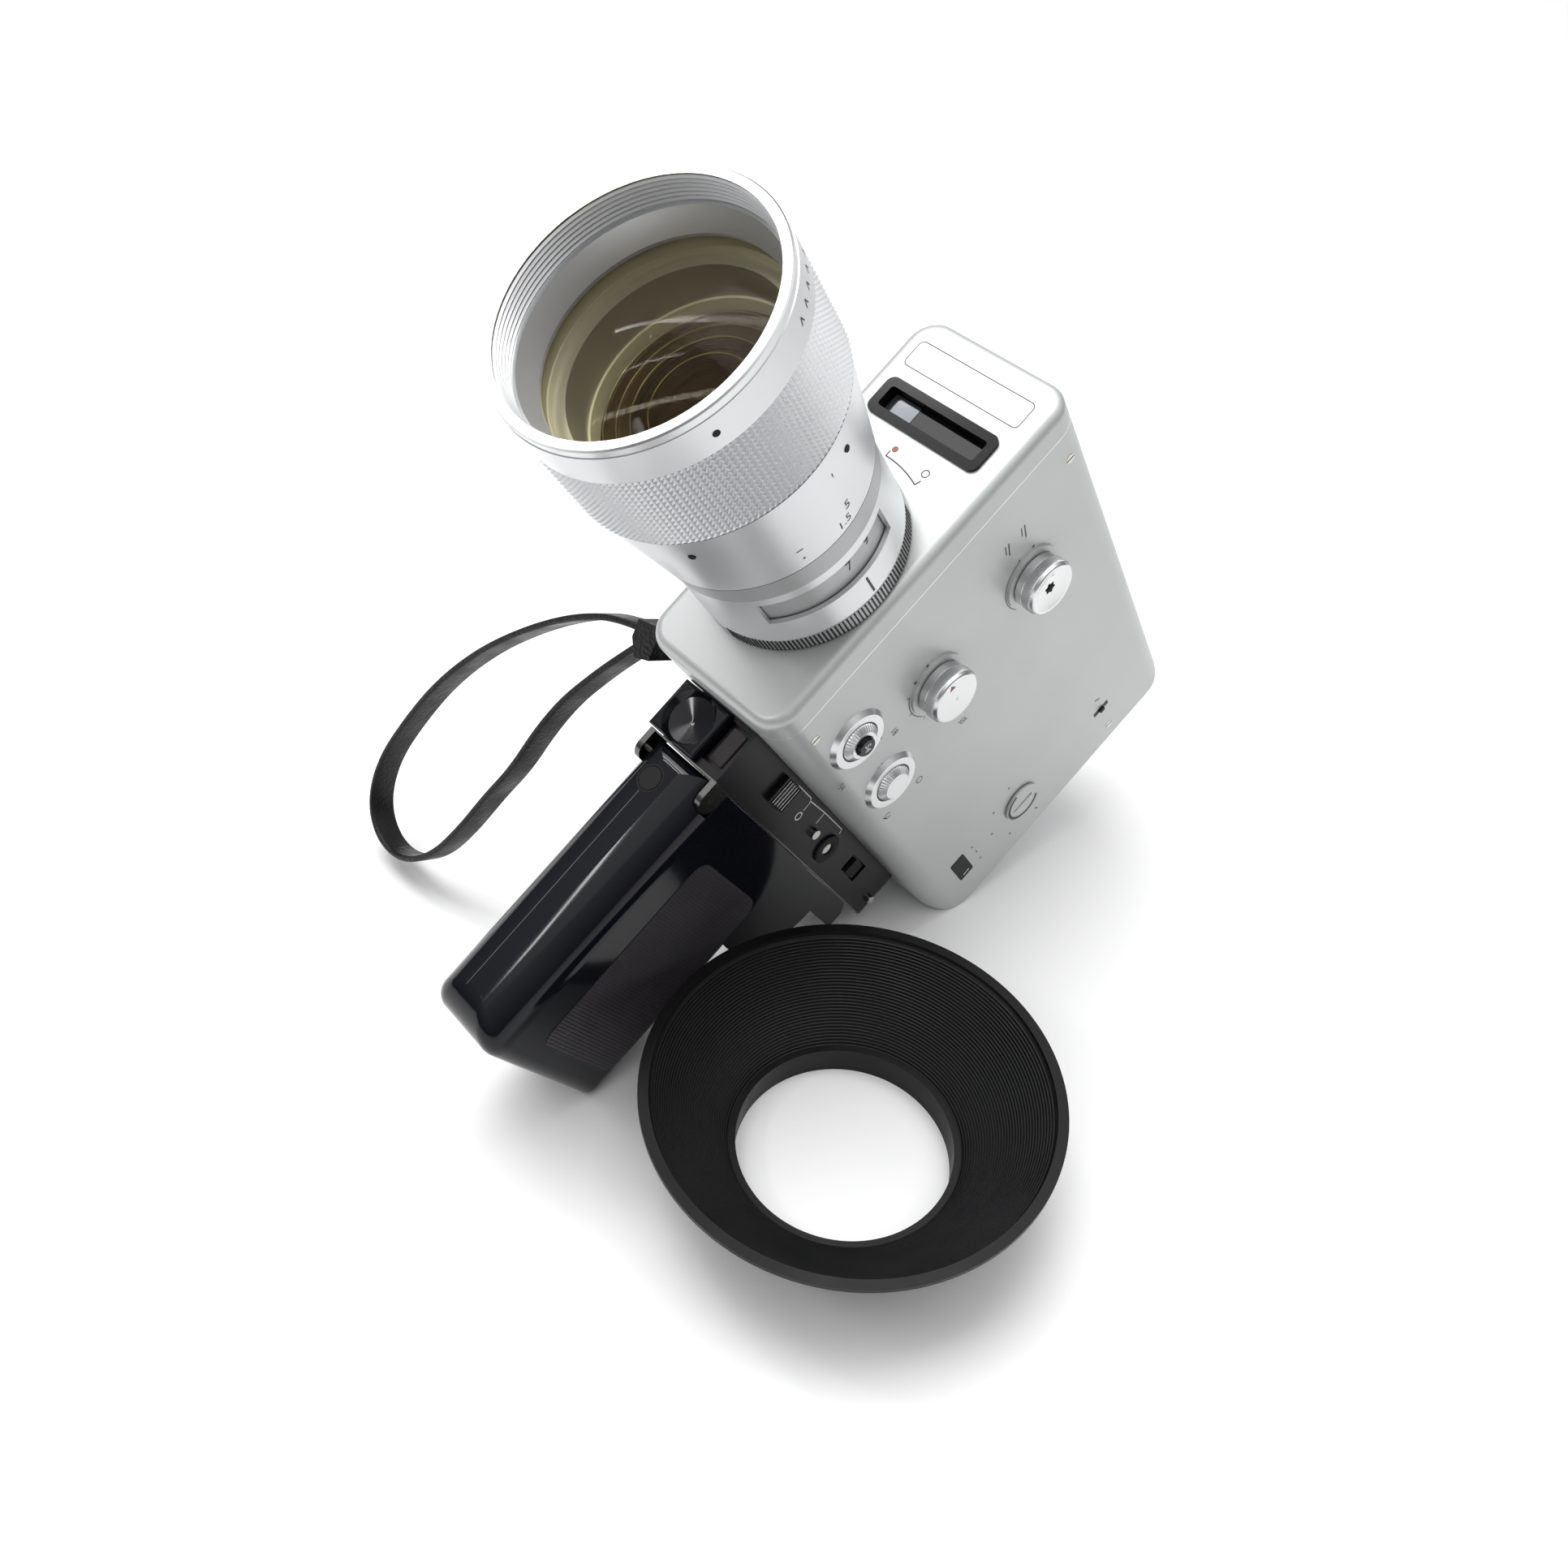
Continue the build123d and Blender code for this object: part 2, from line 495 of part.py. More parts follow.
SCALE_WINDOW = (-52.0, 28.0)
with BuildPart() as scale_sleeve:
    tube(SLEEVE_R, SLEEVE_BORE_R, SLEEVE_LOW, SLEEVE_HIGH, camera)
    tube(SLEEVE_BORE_R, INNER_TUBE_R, SLEEVE_HIGH - 2.0, SLEEVE_HIGH, camera)
    # the kidney-shaped window over the focal lengths
    middle = sum(SCALE_WINDOW) / 2
    reach = 40.0
    half_turn = radians((SCALE_WINDOW[1] - SCALE_WINDOW[0]) / 2)
    with BuildSketch(across(180.0)):
        with Locations(Location((0, 0, 0), (0, 0, middle))):
            Polygon((0, 0), (reach, -reach * tan(half_turn)), (reach, reach * tan(half_turn)), align=None)
        Circle(SLEEVE_BORE_R - 0.5, mode=Mode.SUBTRACT)
    extrude(amount=9.3, mode=Mode.SUBTRACT)
keep(scale_sleeve, "scale_sleeve")


def radial_rods(spots, low, high, mode=Mode.ADD):
    """Small round rods set square into a turned surface, each at (angle, z, surface radius)."""
    for angle, z, surface in spots:
        seat = radial(angle)
        face = Plane(origin=seat.from_local_coords((surface + low, z, 0)), z_dir=seat.x_dir)
        rod(0.9, 0, high - low, face, mode=mode)


def cone_r(z):
    """Outer radius of the tapered barrel."""
    share = (z - BARREL_START) / (BARREL_END - BARREL_START)
    return BARREL_SMALL_R + share * (BARREL_LARGE_R - BARREL_SMALL_R)


BAND_END = 200.0
BARREL_SCREWS = [(angle, 222.5, cone_r(222.5)) for angle in (20.5, -54.0, 140.0)]
RING_SCREWS = [(angle, 260.0, 36.2) for angle in (-17.5, 102.5, 222.5)]
with BuildPart() as index_band:
    turned([
        (INNER_TUBE_R, SLEEVE_HIGH), (cone_r(BARREL_START), SLEEVE_HIGH), (cone_r(BARREL_START), BARREL_START),
        (cone_r(BAND_END), BAND_END), (INNER_TUBE_R, BAND_END),
    ])
keep(index_band, "index_band")

with BuildPart() as focus_barrel:
    turned([
        (INNER_TUBE_R + RUN, BAND_END + 0.3), (cone_r(BAND_END + 0.3), BAND_END + 0.3),
        (BARREL_LARGE_R, BARREL_END), (33.6, BARREL_END), (33.6, 244.4), (28.0, 244.4), (28.0, 212.0),
        (INNER_TUBE_R + RUN, 209.0),
    ])
    radial_rods(BARREL_SCREWS, -0.4, 1.0, Mode.SUBTRACT)
keep(focus_barrel, "focus_barrel")

with BuildPart() as focus_grip:
    turned([(33.6, BARREL_END), (KNURL_R, KNURL_START), (KNURL_R, KNURL_END), (33.6, KNURL_END)])
keep(focus_grip, "focus_grip")

with BuildPart() as name_ring:
    turned([
        (33.6, KNURL_END), (36.2, KNURL_END), (36.2, 264.6), (34.6, 264.6), (34.6, 258.5), (32.6, 258.5),
        (30.6, 251.6), (30.6, 250.7), (31.8, 249.9), (33.6, 249.9),
    ])
    radial_rods(RING_SCREWS, -0.4, 1.0, Mode.SUBTRACT)
keep(name_ring, "name_ring")

with BuildPart() as filter_ring:
    turned([
        (THREAD_R, 258.5), (34.6, 258.5), (34.6, 264.6), (RIM_R, 264.6), (RIM_R, FRONT_RIM - 0.4),
        (RIM_R - 0.4, FRONT_RIM), (THREAD_R, FRONT_RIM),
    ])
keep(filter_ring, "filter_ring")

with BuildPart() as front_cell:
    # dark stepped ring behind the front glass
    turned([
        (25.0, 244.4), (33.6, 244.4), (33.6, 249.9), (31.6, 249.9), (31.6, 246.6), (25.0, 246.6),
    ])
keep(front_cell, "front_cell")


def glass(node, radius, low, edge, front_rise, back_rise):
    """A lens element, from its edge thickness and the rise of the dome on each face."""
    with BuildPart() as element:
        with BuildSketch(radial()) as profile:
            with BuildLine():
                top = low + edge
                dome_r = (radius**2 + front_rise**2) / (2 * front_rise)
                middle = top + front_rise - dome_r + (dome_r**2 - radius**2 / 4) ** 0.5
                Line((0, low + back_rise), (0, top + front_rise))
                ThreePointArc((0, top + front_rise), (radius / 2, middle), (radius, top))
                Line((radius, top), (radius, low))
                if back_rise:
                    bowl_r = (radius**2 + back_rise**2) / (2 * back_rise)
                    middle = low + back_rise - bowl_r + (bowl_r**2 - radius**2 / 4) ** 0.5
                    ThreePointArc((radius, low), (radius / 2, middle), (0, low + back_rise))
                else:
                    Line((radius, low), (0, low))
            make_face()
        revolve(profile.sketch, axis=lens_axis)
    keep(element, node)


glass("front_lens", 31.5, 246.7, 3.2, 5.4, 2.0)
glass("second_lens", 22.3, 226.0, 3.0, 4.0, 0)
glass("rear_lens", REAR_GLASS_R, REAR_GLASS_Z, 4.0, 1.8, 0)

with BuildPart() as iris_plate:
    with BuildSketch(across(188.0)):
        Circle(22.4)
        RegularPolygon(7.0, 6, mode=Mode.SUBTRACT)
    extrude(amount=0.8)
keep(iris_plate, "iris_plate")

with BuildPart() as lens_screws:
    radial_rods(RING_SCREWS, -0.4, 0.1)
    radial_rods(BARREL_SCREWS, -0.4, 0.3)
keep(lens_screws, "lens_screws")

# ---------------------------------------------------------------- block that carries the trigger
BLOCK_LEFT, BLOCK_RIGHT = GRIP_X - GRIP_HALF, GRIP_X + GRIP_HALF - 0.1
BLOCK_TOP, BLOCK_FRONT = BOTTOM, 148.0
TRIGGER_FRONT, TRIGGER_TRAVEL = 150.6, 4.0
TRIGGER_BACK = 145.0
TRIGGER_RIGHT = 7.8
POCKET_BACK = TRIGGER_BACK - TRIGGER_TRAVEL - 0.6
STEM_R = 2.5
TRIGGER_Y = -53.2
SLIDE_Y, SLIDE_Z, SLIDE_TRAVEL = -51.0, 118.0, 3.2
REMOTE_Y, REMOTE_Z, REMOTE_TRAVEL = -52.0, 53.0, 2.5
SOCKET_Y, SOCKET_Z, SOCKET_R = -53.6, 76.0, 4.6
PEG_Y, PEG_Z, PEG_R = -52.9, 89.0, 1.6
LATCH_Y, LATCH_Z, LATCH_R = -55.5, 30.0, 1.5
BUTTON_PROUD = 0.25
WALL = 2.0
with BuildPart() as trigger_block:
    block((BLOCK_LEFT, BLOCK_RIGHT), (BLOCK_BOTTOM, BLOCK_TOP), (BLOCK_BACK, BLOCK_FRONT))
    fillet(trigger_block.faces().sort_by(lens_axis)[0].edges().filter_by(camera_up), 4.0)
    block(
        (BLOCK_LEFT + WALL, BLOCK_RIGHT - WALL),
        (BLOCK_BOTTOM + WALL, BLOCK_TOP - WALL),
        (BLOCK_BACK + WALL + 2, POCKET_BACK - WALL),
        Mode.SUBTRACT,
    )
    # the pocket that the trigger is pressed into, and the hole for its stem
    block(
        (BLOCK_LEFT - 1, TRIGGER_RIGHT + GAP),
        (BLOCK_BOTTOM - 1, BLOCK_TOP - 0.4),
        (POCKET_BACK, BLOCK_FRONT + 1),
        Mode.SUBTRACT,
    )
    hole(STEM_R + RUN, POCKET_BACK - 5, POCKET_BACK + 1, camera, (0, TRIGGER_Y))
    # the recess round the small window beside the trigger
    block((TRIGGER_RIGHT, 16.0), (-59.0, -46.0), (146.2, BLOCK_FRONT + 1), Mode.SUBTRACT)
    # slots of the two switches, the sockets and the latch
    block(
        (BLOCK_RIGHT - 3, BLOCK_RIGHT + 1),
        (SLIDE_Y - 1.7, SLIDE_Y + 1.7),
        (SLIDE_Z - 2.4 - SLIDE_TRAVEL, SLIDE_Z + 2.4 + SLIDE_TRAVEL),
        Mode.SUBTRACT,
    )
    block(
        (BLOCK_RIGHT - 1.2, BLOCK_RIGHT + 1),
        (REMOTE_Y - 3.3, REMOTE_Y + 3.3),
        (REMOTE_Z - 6.0, REMOTE_Z + 6.0),
        Mode.SUBTRACT,
    )
    block(
        (BLOCK_RIGHT - 3, BLOCK_RIGHT + 1),
        (REMOTE_Y - 1.4, REMOTE_Y + 1.4),
        (REMOTE_Z - 1.5 - REMOTE_TRAVEL, REMOTE_Z + 1.5 + REMOTE_TRAVEL),
        Mode.SUBTRACT,
    )
    hole(SOCKET_R, BLOCK_RIGHT - 3, BLOCK_RIGHT + 1, beside(0), (SOCKET_Y, SOCKET_Z))
    hole(PEG_R, BLOCK_RIGHT - 3, BLOCK_RIGHT + 1, beside(0), (PEG_Y, PEG_Z))
    hole(LATCH_R + RUN, BLOCK_RIGHT - 7, BLOCK_RIGHT + 1, beside(0), (LATCH_Y, LATCH_Z))
keep(trigger_block, "trigger_block")

with BuildPart() as trigger:
    block((BLOCK_LEFT, TRIGGER_RIGHT), (BLOCK_BOTTOM + 0.2, BLOCK_TOP - 0.8), (TRIGGER_BACK, TRIGGER_FRONT))
    fillet(trigger.faces().sort_by(lens_axis)[-1].edges(), 1.0)
    # the dish that the finger rests in
    with BuildSketch(Plane(origin=spot(-1.6, TRIGGER_Y, 0), x_dir=camera.x_dir, z_dir=-camera.y_dir)):
        with BuildLine():
            Line((0, TRIGGER_FRONT - 3.2), (7.0, TRIGGER_FRONT - 2.0))
            Line((7.0, TRIGGER_FRONT - 2.0), (8.6, TRIGGER_FRONT + 0.5))
            Line((8.6, TRIGGER_FRONT + 0.5), (0, TRIGGER_FRONT + 0.5))
            Line((0, TRIGGER_FRONT + 0.5), (0, TRIGGER_FRONT - 3.2))
        make_face()
    revolve(axis=Axis(spot(-1.6, TRIGGER_Y, 0), camera.z_dir), mode=Mode.SUBTRACT)
    rod(STEM_R, POCKET_BACK - 4, TRIGGER_BACK, camera, (0, TRIGGER_Y))
keep(trigger, "trigger")

with BuildPart() as slide_switch:
    block(
        (BLOCK_RIGHT + 0.1, BLOCK_RIGHT + 1.6),
        (SLIDE_Y - 4.5, SLIDE_Y + 4.5),
        (SLIDE_Z - 5.2, SLIDE_Z + 5.2),
    )
    for rib in range(7):
        groove = SLIDE_Z - 3.9 + rib * 1.3
        groove_z = (groove - 0.3, groove + 0.3)
        block((BLOCK_RIGHT + 1.2, BLOCK_RIGHT + 2), (SLIDE_Y - 5, SLIDE_Y + 5), groove_z, Mode.SUBTRACT)
    stem_z = (SLIDE_Z - 2.4, SLIDE_Z + 2.4)
    block((BLOCK_RIGHT - 3, BLOCK_RIGHT + 0.1), (SLIDE_Y - 1.6, SLIDE_Y + 1.6), stem_z)
keep(slide_switch, "slide_switch")

with BuildPart() as remote_switch:
    cap_y = (REMOTE_Y - 2.8, REMOTE_Y + 2.8)
    block((BLOCK_RIGHT - 1.1, BLOCK_RIGHT + 0.5), cap_y, (REMOTE_Z - 3.0, REMOTE_Z + 3.0))
    neck_y = (REMOTE_Y - 1.3, REMOTE_Y + 1.3)
    block((BLOCK_RIGHT - 3, BLOCK_RIGHT - 1.1), neck_y, (REMOTE_Z - 1.4, REMOTE_Z + 1.4))
keep(remote_switch, "remote_switch")

with BuildPart() as sockets:
    tube(SOCKET_R, SOCKET_R - 1.5, BLOCK_RIGHT - 3, BLOCK_RIGHT + 0.8, beside(0), (SOCKET_Y, SOCKET_Z))
    rod(1.9, BLOCK_RIGHT - 3, BLOCK_RIGHT + 0.4, beside(0), (SOCKET_Y, SOCKET_Z))
    rod(PEG_R, BLOCK_RIGHT - 3, BLOCK_RIGHT + 1.6, beside(0), (PEG_Y, PEG_Z))
keep(sockets, "sockets")

with BuildPart() as latch_button:
    rod(LATCH_R, BLOCK_RIGHT - 6, BLOCK_RIGHT + 1.6, beside(0), (LATCH_Y, LATCH_Z))
    fillet(latch_button.faces().sort_by(Axis.X)[-1].edges(), 0.4)
keep(latch_button, "latch_button")

# ---------------------------------------------------------------- bracket, hinge and grip
EAR_R, EAR_THICK, HINGE_R = 4.0, 2.0, 1.2
BRACKET_THICK = 0.5
GRIP_LEFT, GRIP_RIGHT = GRIP_X - GRIP_HALF, GRIP_X + GRIP_HALF
with BuildPart() as grip_bracket:
    block(
        (BLOCK_LEFT, BLOCK_RIGHT),
        (BLOCK_BOTTOM - BRACKET_THICK, BLOCK_BOTTOM),
        (BLOCK_BACK + 4, HINGE_Z + EAR_R),
    )
    for low in (GRIP_LEFT, GRIP_RIGHT - EAR_THICK):
        rod(EAR_R, low, low + EAR_THICK, beside(0), (HINGE_Y, HINGE_Z))
        block((low, low + EAR_THICK), (HINGE_Y, BLOCK_BOTTOM), (HINGE_Z - EAR_R, HINGE_Z + EAR_R))
    hole(HINGE_R, GRIP_LEFT - 1, GRIP_RIGHT + 1, beside(0), (HINGE_Y, HINGE_Z))
keep(grip_bracket, "grip_bracket")

with BuildPart() as grip_hinge_pin:
    rod(HINGE_R, GRIP_LEFT, GRIP_RIGHT, beside(0), (HINGE_Y, HINGE_Z))
keep(grip_hinge_pin, "grip_hinge_pin")

FOOT_ROUND, THROAT_R = 12.0, 25.0
SPUR_UNDER, SPUR_END, SPUR_ROUND = -71.5, 38.0, 3.0
FRONT_EDGE_R, BACK_EDGE_R = 11.0, 5.0
GRIP_WALL = 2.2
CELL_R, CELL_LENGTH, CELL_COUNT = 7.0, 49.0, 6
CELL_FRONT = 139.0
CELL_TOP_Y, CELL_PITCH = -73.5, 14.1
COVER_FRONT, COVER_BACK = 132.0, 90.0
COVER_TOP, COVER_FOOT = -74.0, -150.0
COVER_PIN_X, COVER_PIN_Z = GRIP_LEFT + LID_THICK + 0.4, COVER_BACK + PIN_INSET
CONTACT_Z = 87.6
GRIP_SEAM = 0.3
BUTTON_X, BUTTON_Y, BUTTON_R = 0.4, -72.5, 3.6
BUSH_R, BUSH_Z, BUSH_DEEP, SOCKET_THREAD_R = 5.0, 115.0, 6.2, 3.1


def grip_outline():
    """Side view of the grip: a straight handle with a spur that runs back under the block."""
    with BuildSketch(beside(GRIP_LEFT)) as profile:
        with BuildLine():
            throat = (SPUR_UNDER - THROAT_R, GRIP_BACK - THROAT_R)
            Polyline(
                (GRIP_TOP, HINGE_Z), (GRIP_TOP, SPUR_END + SPUR_ROUND), (GRIP_TOP - SPUR_ROUND, SPUR_END),
                (SPUR_UNDER, SPUR_END), (SPUR_UNDER, throat[1]),
            )
            RadiusArc((SPUR_UNDER, throat[1]), (throat[0], GRIP_BACK), THROAT_R)
            Line((throat[0], GRIP_BACK), (GRIP_FOOT + HEEL_ROUND, GRIP_BACK))
            RadiusArc(
                (GRIP_FOOT + HEEL_ROUND, GRIP_BACK), (GRIP_FOOT, GRIP_BACK + HEEL_ROUND), HEEL_ROUND,
            )
            Line((GRIP_FOOT, GRIP_BACK + HEEL_ROUND), (GRIP_FOOT, GRIP_FRONT - FOOT_ROUND))
            RadiusArc(
                (GRIP_FOOT, GRIP_FRONT - FOOT_ROUND), (GRIP_FOOT + FOOT_ROUND, GRIP_FRONT), FOOT_ROUND,
            )
            Line((GRIP_FOOT + FOOT_ROUND, GRIP_FRONT), (HINGE_Y, GRIP_FRONT))
            RadiusArc((HINGE_Y, GRIP_FRONT), (GRIP_TOP, HINGE_Z), SHOULDER_R)
        make_face()
    extrude(profile.sketch, amount=2 * GRIP_HALF)


with BuildPart() as grip_form:
    grip_outline()
    with BuildSketch(above(GRIP_FOOT - 1)):
        with BuildLine():
            Line((SPUR_END, GRIP_LEFT), (GRIP_FRONT - FRONT_EDGE_R, GRIP_LEFT))
            RadiusArc(
                (GRIP_FRONT - FRONT_EDGE_R, GRIP_LEFT), (GRIP_FRONT, GRIP_LEFT + FRONT_EDGE_R), -FRONT_EDGE_R,
            )
            Line((GRIP_FRONT, GRIP_LEFT + FRONT_EDGE_R), (GRIP_FRONT, GRIP_RIGHT - FRONT_EDGE_R))
            RadiusArc(
                (GRIP_FRONT, GRIP_RIGHT - FRONT_EDGE_R), (GRIP_FRONT - FRONT_EDGE_R, GRIP_RIGHT), -FRONT_EDGE_R,
            )
            Line((GRIP_FRONT - FRONT_EDGE_R, GRIP_RIGHT), (SPUR_END, GRIP_RIGHT))
            Line((SPUR_END, GRIP_RIGHT), (SPUR_END, GRIP_LEFT))
        make_face()
    extrude(amount=GRIP_TOP - GRIP_FOOT + 2, mode=Mode.INTERSECT)
    back_edges = grip_form.edges().filter_by(camera_up).sort_by(lens_axis)
    fillet([e for e in back_edges if abs(camera.to_local_coords(e @ 0.5).Z - GRIP_BACK) < 0.1], BACK_EDGE_R)
    # the ears of the bracket stand in a notch at each side
    for low in (GRIP_LEFT - 1, GRIP_RIGHT - EAR_THICK - GAP):
        block(
            (low, low + EAR_THICK + 1 + GAP),
            (HINGE_Y - EAR_R - GAP, GRIP_TOP + 1),
            (HINGE_Z - EAR_R - GAP, GRIP_FRONT + 1),
            Mode.SUBTRACT,
        )
    # hollows of the handle and of the spur
    block(
        (GRIP_LEFT + GRIP_WALL, GRIP_RIGHT - GRIP_WALL),
        (GRIP_FOOT + GRIP_WALL, HINGE_Y + 0.6),
        (GRIP_BACK + GRIP_WALL, CELL_FRONT - 2),
        Mode.SUBTRACT,
    )
    block(
        (GRIP_LEFT + 6, GRIP_RIGHT - 6),
        (GRIP_FOOT + GRIP_WALL + 2, HINGE_Y + 0.6),
        (CELL_FRONT - 3, CELL_FRONT + 2.5),
        Mode.SUBTRACT,
    )
    hole(HINGE_R + RUN, GRIP_LEFT, GRIP_RIGHT, beside(0), (HINGE_Y, HINGE_Z))
    # the release button on the front, the bush in the foot and the battery door on the left
    hole(BUTTON_R + RUN, CELL_FRONT, GRIP_FRONT + 1, camera, (BUTTON_X, BUTTON_Y))
    hole(BUSH_R, GRIP_FOOT - 1, GRIP_FOOT + 5, above(0), (BUSH_Z, GRIP_X))
    block((GRIP_LEFT - 1, GRIP_LEFT + 5), (COVER_FOOT, COVER_TOP), (COVER_BACK, COVER_FRONT), Mode.SUBTRACT)
    for low in (COVER_FOOT - 2, COVER_TOP):
        lug_x = (GRIP_LEFT + GRIP_WALL, GRIP_LEFT + GRIP_WALL + 3)
        block(lug_x, (low, low + 2), (COVER_PIN_Z - 2, COVER_PIN_Z + 2))
    hole(PIN_R + RUN, COVER_FOOT - 3, COVER_TOP + 3, above(0), (COVER_PIN_Z, COVER_PIN_X))

half_space = ((GRIP_FOOT - 1, GRIP_TOP + 1), (SPUR_END - 1, GRIP_FRONT + 1))
with BuildPart() as grip_shell_right:
    add(grip_form.part)
    block((GRIP_SEAM - 40, GRIP_SEAM), *half_space, Mode.SUBTRACT)
keep(grip_shell_right, "grip_shell_right")

with BuildPart() as grip_shell_left:
    add(grip_form.part)
    block((GRIP_SEAM, GRIP_SEAM + 40), *half_space, Mode.SUBTRACT)
keep(grip_shell_left, "grip_shell_left")

hinged_lid("battery_cover", GRIP_LEFT, (COVER_FOOT, COVER_TOP), COVER_FRONT - GAP, COVER_PIN_Z, False)

with BuildPart() as release_button:
    rod(BUTTON_R, GRIP_FRONT - 6, GRIP_FRONT + BUTTON_PROUD, camera, (BUTTON_X, BUTTON_Y))
    chamfer(release_button.faces().sort_by(lens_axis)[-1].edges(), BUTTON_PROUD)
keep(release_button, "release_button")

with BuildPart() as tripod_bush:
    tube(BUSH_R, SOCKET_THREAD_R, GRIP_FOOT, GRIP_FOOT + BUSH_DEEP, above(0), (BUSH_Z, GRIP_X))
keep(tripod_bush, "tripod_bush")

CELL_CENTRES = [CELL_TOP_Y - CELL_PITCH * row for row in range(CELL_COUNT)]
with BuildPart() as battery_cells:
    for y in CELL_CENTRES:
        rod(CELL_R, CELL_FRONT - CELL_LENGTH, CELL_FRONT - 1, camera, (GRIP_X, y))
        rod(2.6, CELL_FRONT - 1, CELL_FRONT, camera, (GRIP_X, y))
keep(battery_cells, "battery_cells")

with BuildPart() as battery_contacts:
    for y in CELL_CENTRES:
        panel(9.0, 12.0, 1.0, CELL_FRONT, CELL_FRONT + 0.4, (GRIP_X, y))
        panel(9.0, 12.0, 1.0, CONTACT_Z, CONTACT_Z + 0.4, (GRIP_X, y))
        rod(3.0, CONTACT_Z + 0.4, CELL_FRONT - CELL_LENGTH, camera, (GRIP_X, y))
keep(battery_contacts, "battery_contacts")

# ---------------------------------------------------------------- strap, hanging in a plane from its tab
STRAP_WIDE, STRAP_THICK = 9.0, 2.0
strap_start = spot(LEFT, -41, 152)
strap_down = camera.y_dir * -0.8514 - camera.z_dir * 0.5245
strap_plane = Plane(origin=strap_start, x_dir=camera.x_dir, z_dir=camera.x_dir.cross(strap_down))
STRAP_ROUTE = [
    (-9.2, 0.4), (-18.0, 2.6), (-29.0, 8.0), (-41.0, 16.5), (-54.0, 28.0), (-68.0, 43.0), (-81.0, 62.0),
    (-90.0, 82.0), (-96.5, 102.0), (-95.0, 118.0), (-85.0, 126.5), (-71.0, 126.0), (-58.0, 115.0),
    (-49.5, 98.0), (-43.5, 81.5), (-37.0, 67.0), (-32.5, 50.0), (-27.0, 36.0), (-20.5, 25.0),
    (-14.0, 15.0), (-7.4, 5.9),
]
SHARE = 0.45


def bend_radii(route):
    """The largest arc that the two runs beside each corner leave room for."""
    radii = []
    for before, corner, after in zip(route, route[1:], route[2:]):
        run_in = Vector(*corner) - Vector(*before)
        run_out = Vector(*after) - Vector(*corner)
        turn = radians(run_in.get_angle(run_out))
        radii.append(SHARE * min(run_in.length, run_out.length) / tan(turn / 2))
    return radii


radii = bend_radii(STRAP_ROUTE)
with BuildPart() as wrist_strap:
    with BuildSketch(strap_plane.offset(-STRAP_WIDE / 2)):
        with BuildLine():
            FilletPolyline(*STRAP_ROUTE, radius=radii)
        trace(line_width=STRAP_THICK)
    extrude(amount=STRAP_WIDE)
keep(wrist_strap, "wrist_strap")

with BuildPart() as strap_tab:
    with BuildSketch(strap_plane.offset(-STRAP_WIDE / 2 - 0.4)):
        with BuildLine():
            Polyline((0, -4.5), (-9.0, -2.4), (-9.0, 3.2), (-5.6, 8.0), (0, 6.0), close=True)
        make_face()
    extrude(amount=STRAP_WIDE + 0.8)
    block((LEFT, LEFT + 20), (-70, 0), (120, 180), Mode.SUBTRACT)
keep(strap_tab, "strap_tab")

# ---------------------------------------------------------------- lens hood, lying on its collar
HOOD_THREAD_R, HOOD_BORE_R = 33.4, 32.0
with BuildPart() as lens_hood:
    with BuildSketch(Plane(origin=(HOOD_X, HOOD_Y, 0), x_dir=(1, 0, 0), z_dir=(0, -1, 0))):
        with BuildLine():
            Polyline(
                (HOOD_BORE_R, 0), (HOOD_THREAD_R, 0), (HOOD_THREAD_R, 4.0), (35.2, 4.0), (35.2, 7.0),
                (59.0, 33.0), (HOOD_RIM_R, 34.6), (HOOD_RIM_R, HOOD_HEIGHT), (57.3, HOOD_HEIGHT),
                (57.3, 34.6), (34.0, 9.6), (HOOD_BORE_R, 9.6), close=True,
            )
        make_face()
    revolve(axis=Axis((HOOD_X, HOOD_Y, 0), (0, 0, 1)))
keep(lens_hood, "lens_hood")
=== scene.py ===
import json
from math import asin, atan2, cos, pi, radians, sin, tau

import bmesh
import bpy
from mathutils import Matrix, Vector


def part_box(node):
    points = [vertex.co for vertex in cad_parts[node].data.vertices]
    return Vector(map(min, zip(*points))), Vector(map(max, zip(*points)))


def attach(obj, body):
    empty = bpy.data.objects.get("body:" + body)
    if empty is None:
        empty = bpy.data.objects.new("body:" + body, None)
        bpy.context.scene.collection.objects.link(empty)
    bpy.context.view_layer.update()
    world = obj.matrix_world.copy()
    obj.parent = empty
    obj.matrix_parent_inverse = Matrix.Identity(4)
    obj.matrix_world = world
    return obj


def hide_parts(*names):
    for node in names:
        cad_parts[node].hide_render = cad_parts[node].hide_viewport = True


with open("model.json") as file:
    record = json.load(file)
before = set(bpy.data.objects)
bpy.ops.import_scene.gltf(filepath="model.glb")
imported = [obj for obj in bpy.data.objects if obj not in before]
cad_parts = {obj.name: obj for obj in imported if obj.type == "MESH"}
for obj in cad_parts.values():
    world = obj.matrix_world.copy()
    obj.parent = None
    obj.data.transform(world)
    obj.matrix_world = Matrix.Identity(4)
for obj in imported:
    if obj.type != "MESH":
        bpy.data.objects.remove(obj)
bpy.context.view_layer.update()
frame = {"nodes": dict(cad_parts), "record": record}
nodes = frame["nodes"]

# ---------------------------------------------------------------- the camera's own frame
# Millimetres: x to the controls side, y up the body, z along the lens, from the back of the body.
MM = 0.001
MOUTH_Z = 262.75
mounts = {mount["name"]: mount for mount in frame["record"]["mounts"]}
FORWARD = Vector(mounts["filter_thread"]["axis"]).normalized()
ACROSS = Vector((1, 0, 0))
UPWARD = FORWARD.cross(ACROSS)
BACK = Vector(mounts["filter_thread"]["pos_m"]) - FORWARD * MOUTH_Z * MM


